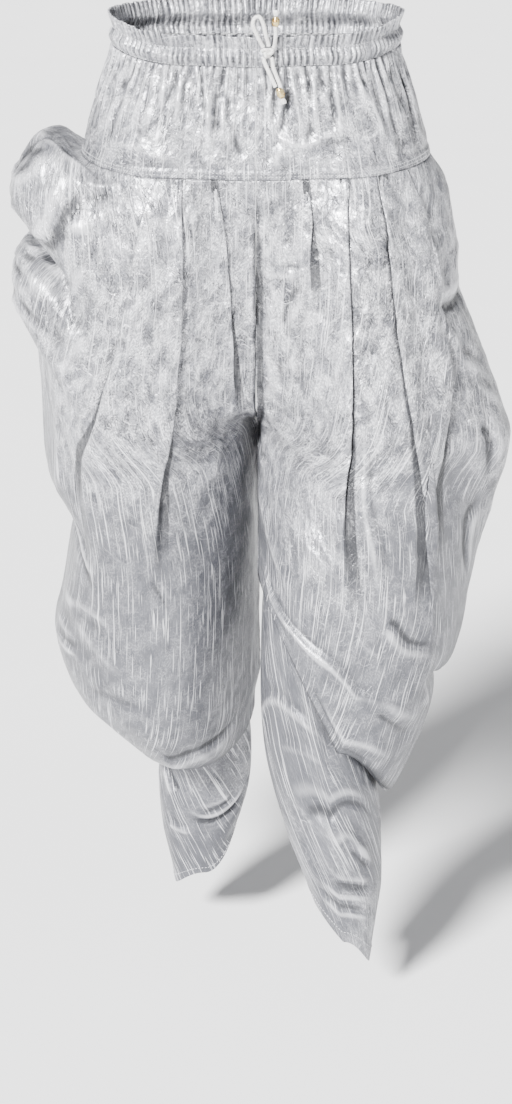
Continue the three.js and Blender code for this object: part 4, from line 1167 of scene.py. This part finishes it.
# The drawstring: a half bow with beaded ends. Routes are those of the CAD part, in mm.
knot = {"x": 11.5, "y": -106.5, "z": -24.0, "halfWidth": 7.0, "halfDepth": 4.2, "halfHeight": 5.5}
drawstringRoutes = {
    "drawstringLoop": {
        "node": "drawstring_loop", "start": 125,
        "via": [(1.5, -109.6, -8), (-3, -109.6, 3), (-1.5, -108.8, 9.5), (3, -108.2, 11),
                (6.8, -108.8, 5), (9.6, -109.6, -6)],
        "end": 85, "farEnd": "object", "with": [],
    },
    "drawstringUpperEnd": {
        "node": "drawstring_upper_end", "start": 45,
        "via": [(19, -109.8, -11), (19.4, -110.4, -4), (19, -110.6, 1), (19.6, -109.4, 11)],
        "farEnd": "knot", "with": ["beadUpper", "tipUpper"],
    },
    "drawstringLowerEnd": {
        "node": "drawstring_lower_end", "start": -60,
        "via": [(17, -111.4, -38), (20.4, -113.2, -47), (24, -114.6, -56.6), (25.7, -115.4, -67.4)],
        "farEnd": "knot", "with": ["beadLower", "tipLower"],
    },
    "drawstringReturn": {
        "node": "drawstring_return", "start": -115,
        "via": [(11, -111.4, -39), (15.2, -113.2, -48), (19.4, -114.6, -57.2)],
        "farEnd": "object", "with": [],
    },
}
# each bead sits between two places on its cord, and the cord's end shows past it as a tuft
beadPlaces = {
    "beadUpper": {
        "node": "bead_upper", "from": (19, -110.6, 1.6), "to": (19.6, -109.4, 11),
        "tip": "tipUpper", "tipNode": "tip_upper",
    },
    "beadLower": {
        "node": "bead_lower", "from": (22.5, -114.9, -57.9), "to": (25.7, -115.4, -67.4),
        "tip": "tipLower", "tipNode": "tip_lower",
    },
}
# half of a bead's section, as radius and place along it: the bore, an end rim and a turned groove
beadProfile = [(2.15, 0), (2.7, 0), (3.0, 0.5), (2.8, 0.9), (3.6, 1.8), (3.95, 3.2), (3.8, 3.5), (3.95, 3.8)]
beadMiddle = 4.0
beadSteps = 40
cordSettings = {"radius": 2.0, "sides": 24, "step": 0.8, "pitch": 9.0, "plies": 3, "groove": 0.16}
tuftSettings = {**cordSettings, "groove": 0.4, "plies": 9, "pitch": 60.0, "step": 0.5}
tuftPlaces = (0.3, 2.5, 4.5, 6.3)  # mm past the bead


# A place at an angle round the knot, this far off its surface.
def onKnot(degrees, away):
    angle = math.radians(degrees)
    out = np.array([math.cos(angle) / knot["halfWidth"], 0, math.sin(angle) / knot["halfHeight"]])
    out *= away / np.linalg.norm(out)
    return np.array([knot["x"] + knot["halfWidth"] * math.cos(angle), knot["y"],
                     knot["z"] + knot["halfHeight"] * math.sin(angle)]) + out


# A smooth curve through a cord's points, with a point at each step.
def smoothRoute(points, step):
    points = np.array(points, float)
    keys = np.concatenate([[0], np.cumsum(np.linalg.norm(np.diff(points, axis=0), axis=1))])
    dense = np.linspace(0, keys[-1], max(int(keys[-1] / step), 8) + 1)
    return np.stack([through(keys, points[:, k], dense) for k in range(3)], axis=1)


# A twisted cord along a route: the plies show as grooves that wind round it.
def cordPiece(name, route, settings, radiusAt=None):
    way = np.concatenate([[0], np.cumsum(np.linalg.norm(np.diff(route, axis=0), axis=1))])
    tangent = np.gradient(route, axis=0)
    tangent /= np.linalg.norm(tangent, axis=1, keepdims=True)
    side = np.cross(tangent[0], [0.1, 1, 0.2])
    frames = []
    for t in tangent:
        side = side - t * np.dot(side, t)
        side /= np.linalg.norm(side)
        frames.append((side, np.cross(t, side)))
    sideA = np.array([f[0] for f in frames])
    sideB = np.array([f[1] for f in frames])
    angle = np.linspace(0, 2 * math.pi, settings["sides"] + 1)
    twist = angle[None, :] - 2 * math.pi * way[:, None] / settings["pitch"]
    groove = 1 - settings["groove"] * (1 - np.abs(np.cos(settings["plies"] / 2 * twist))) ** 1.5
    scale = np.ones(len(route)) if radiusAt is None else radiusAt(way / way[-1])
    radius = settings["radius"] * groove * scale[:, None]
    points = (route[:, None] + sideA[:, None] * (radius * np.cos(angle))[..., None]
              + sideB[:, None] * (radius * np.sin(angle))[..., None])
    points[:, -1] = points[:, 0]
    flat = np.stack([twist * settings["radius"], np.repeat(way[:, None], len(angle), axis=1)], axis=-1)
    outward = points - route[:, None]
    piece = gridMesh(name, points, flat, twistedCord, True, outward)
    bm = bmesh.new()
    bm.from_mesh(piece.data)
    bmesh.ops.holes_fill(bm, edges=[e for e in bm.edges if e.is_boundary], sides=0)
    bm.to_mesh(piece.data)
    bm.free()
    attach(piece, "root")
    return piece, way[-1]


def buildBead(name, place):
    start = Vector(place["from"])
    along = Vector(place["to"]) - start
    length = along.length
    profile = beadProfile + [(beadMiddle, length / 2)] + [(r, length - z) for r, z in reversed(beadProfile)]
    bm = bmesh.new()
    verts = [bm.verts.new((r * millimetre, 0, z * millimetre)) for r, z in profile]
    edges = [bm.edges.new((verts[i], verts[(i + 1) % len(verts)])) for i in range(len(verts))]
    bmesh.ops.spin(bm, geom=verts + edges, cent=(0, 0, 0), axis=(0, 0, 1), angle=2 * math.pi,
                   steps=beadSteps, use_merge=True)
    bmesh.ops.remove_doubles(bm, verts=bm.verts, dist=1e-7)
    bmesh.ops.recalc_face_normals(bm, faces=bm.faces)
    for face in bm.faces:
        face.smooth = True
    bmesh.ops.transform(bm, matrix=along.to_track_quat("Z", "Y").to_matrix().to_4x4(), verts=bm.verts)
    bmesh.ops.translate(bm, vec=start * millimetre, verts=bm.verts)
    piece = addPiece(name, bm, brass)
    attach(piece, "root")
    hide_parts(place["node"])
    route = smoothRoute([start + along * ((length + past) / length) for past in tuftPlaces],
                        tuftSettings["step"])
    tuft = cordPiece(place["tip"], route, tuftSettings, lambda share: 0.75 + 0.8 * np.sin(share * 2.4))[0]
    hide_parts(place["tipNode"])


for beadName, beadPlace in beadPlaces.items():
    buildBead(beadName, beadPlace)

# the knot: a trefoil
turns = np.linspace(0, 2 * math.pi, 90)
knotRoute = np.stack([
    knot["x"] + (np.sin(turns) + 2 * np.sin(2 * turns)) * 1.75,
    knot["y"] - np.sin(3 * turns) * 2.1,
    knot["z"] + (np.cos(turns) - 2 * np.cos(2 * turns)) * 1.35,
], axis=1)
knotPiece = cordPiece("drawstringKnot", knotRoute, {**cordSettings, "radius": 1.9})[0]
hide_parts("drawstring_knot")

for cordName, plan in drawstringRoutes.items():
    routePoints = [onKnot(plan["start"], 0.3), onKnot(plan["start"], 2.5), *plan["via"]]
    if "end" in plan:
        routePoints += [onKnot(plan["end"], 2.5), onKnot(plan["end"], 0.3)]
    route = smoothRoute(routePoints, cordSettings["step"])
    strand, strandLength = cordPiece(cordName, route, cordSettings)
    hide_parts(plan["node"])
    print(f"{cordName}: {strandLength:.1f} mm")
print("drawstring made")

# floor and light
floorSettings = {"height": -1.03, "halfSize": 30.0}
bm = bmesh.new()
bmesh.ops.create_grid(bm, x_segments=1, y_segments=1, size=floorSettings["halfSize"])
bmesh.ops.translate(bm, vec=(0, 0, floorSettings["height"]), verts=bm.verts)
floor = addPiece("floor", bm, paleFloorMaterial())

lightSettings = {
    "key": {"kind": "SUN", "from": (-0.55, -1.0, 0.75), "spread": 12.0, "power": 15.5},
    "fill": {"kind": "SUN", "from": (1.2, -0.9, 0.2), "spread": 50.0, "power": 1.2},
}
worldSettings = {"color": "#f4f5f8", "strength": 0.42}
for lightName, settings in lightSettings.items():
    data = bpy.data.lights.new(lightName, settings["kind"])
    data.energy = settings["power"]
    data.angle = math.radians(settings["spread"])
    light = bpy.data.objects.new(lightName, data)
    light.rotation_euler = (-Vector(settings["from"])).to_track_quat("-Z", "Y").to_euler()
    bpy.context.scene.collection.objects.link(light)
world = bpy.data.worlds.new("studio")
world.use_nodes = True
background = world.node_tree.nodes["Background"]
background.inputs["Color"].default_value = linearColor(worldSettings["color"])
background.inputs["Strength"].default_value = worldSettings["strength"]
bpy.context.scene.world = world
print("stage and lights placed")
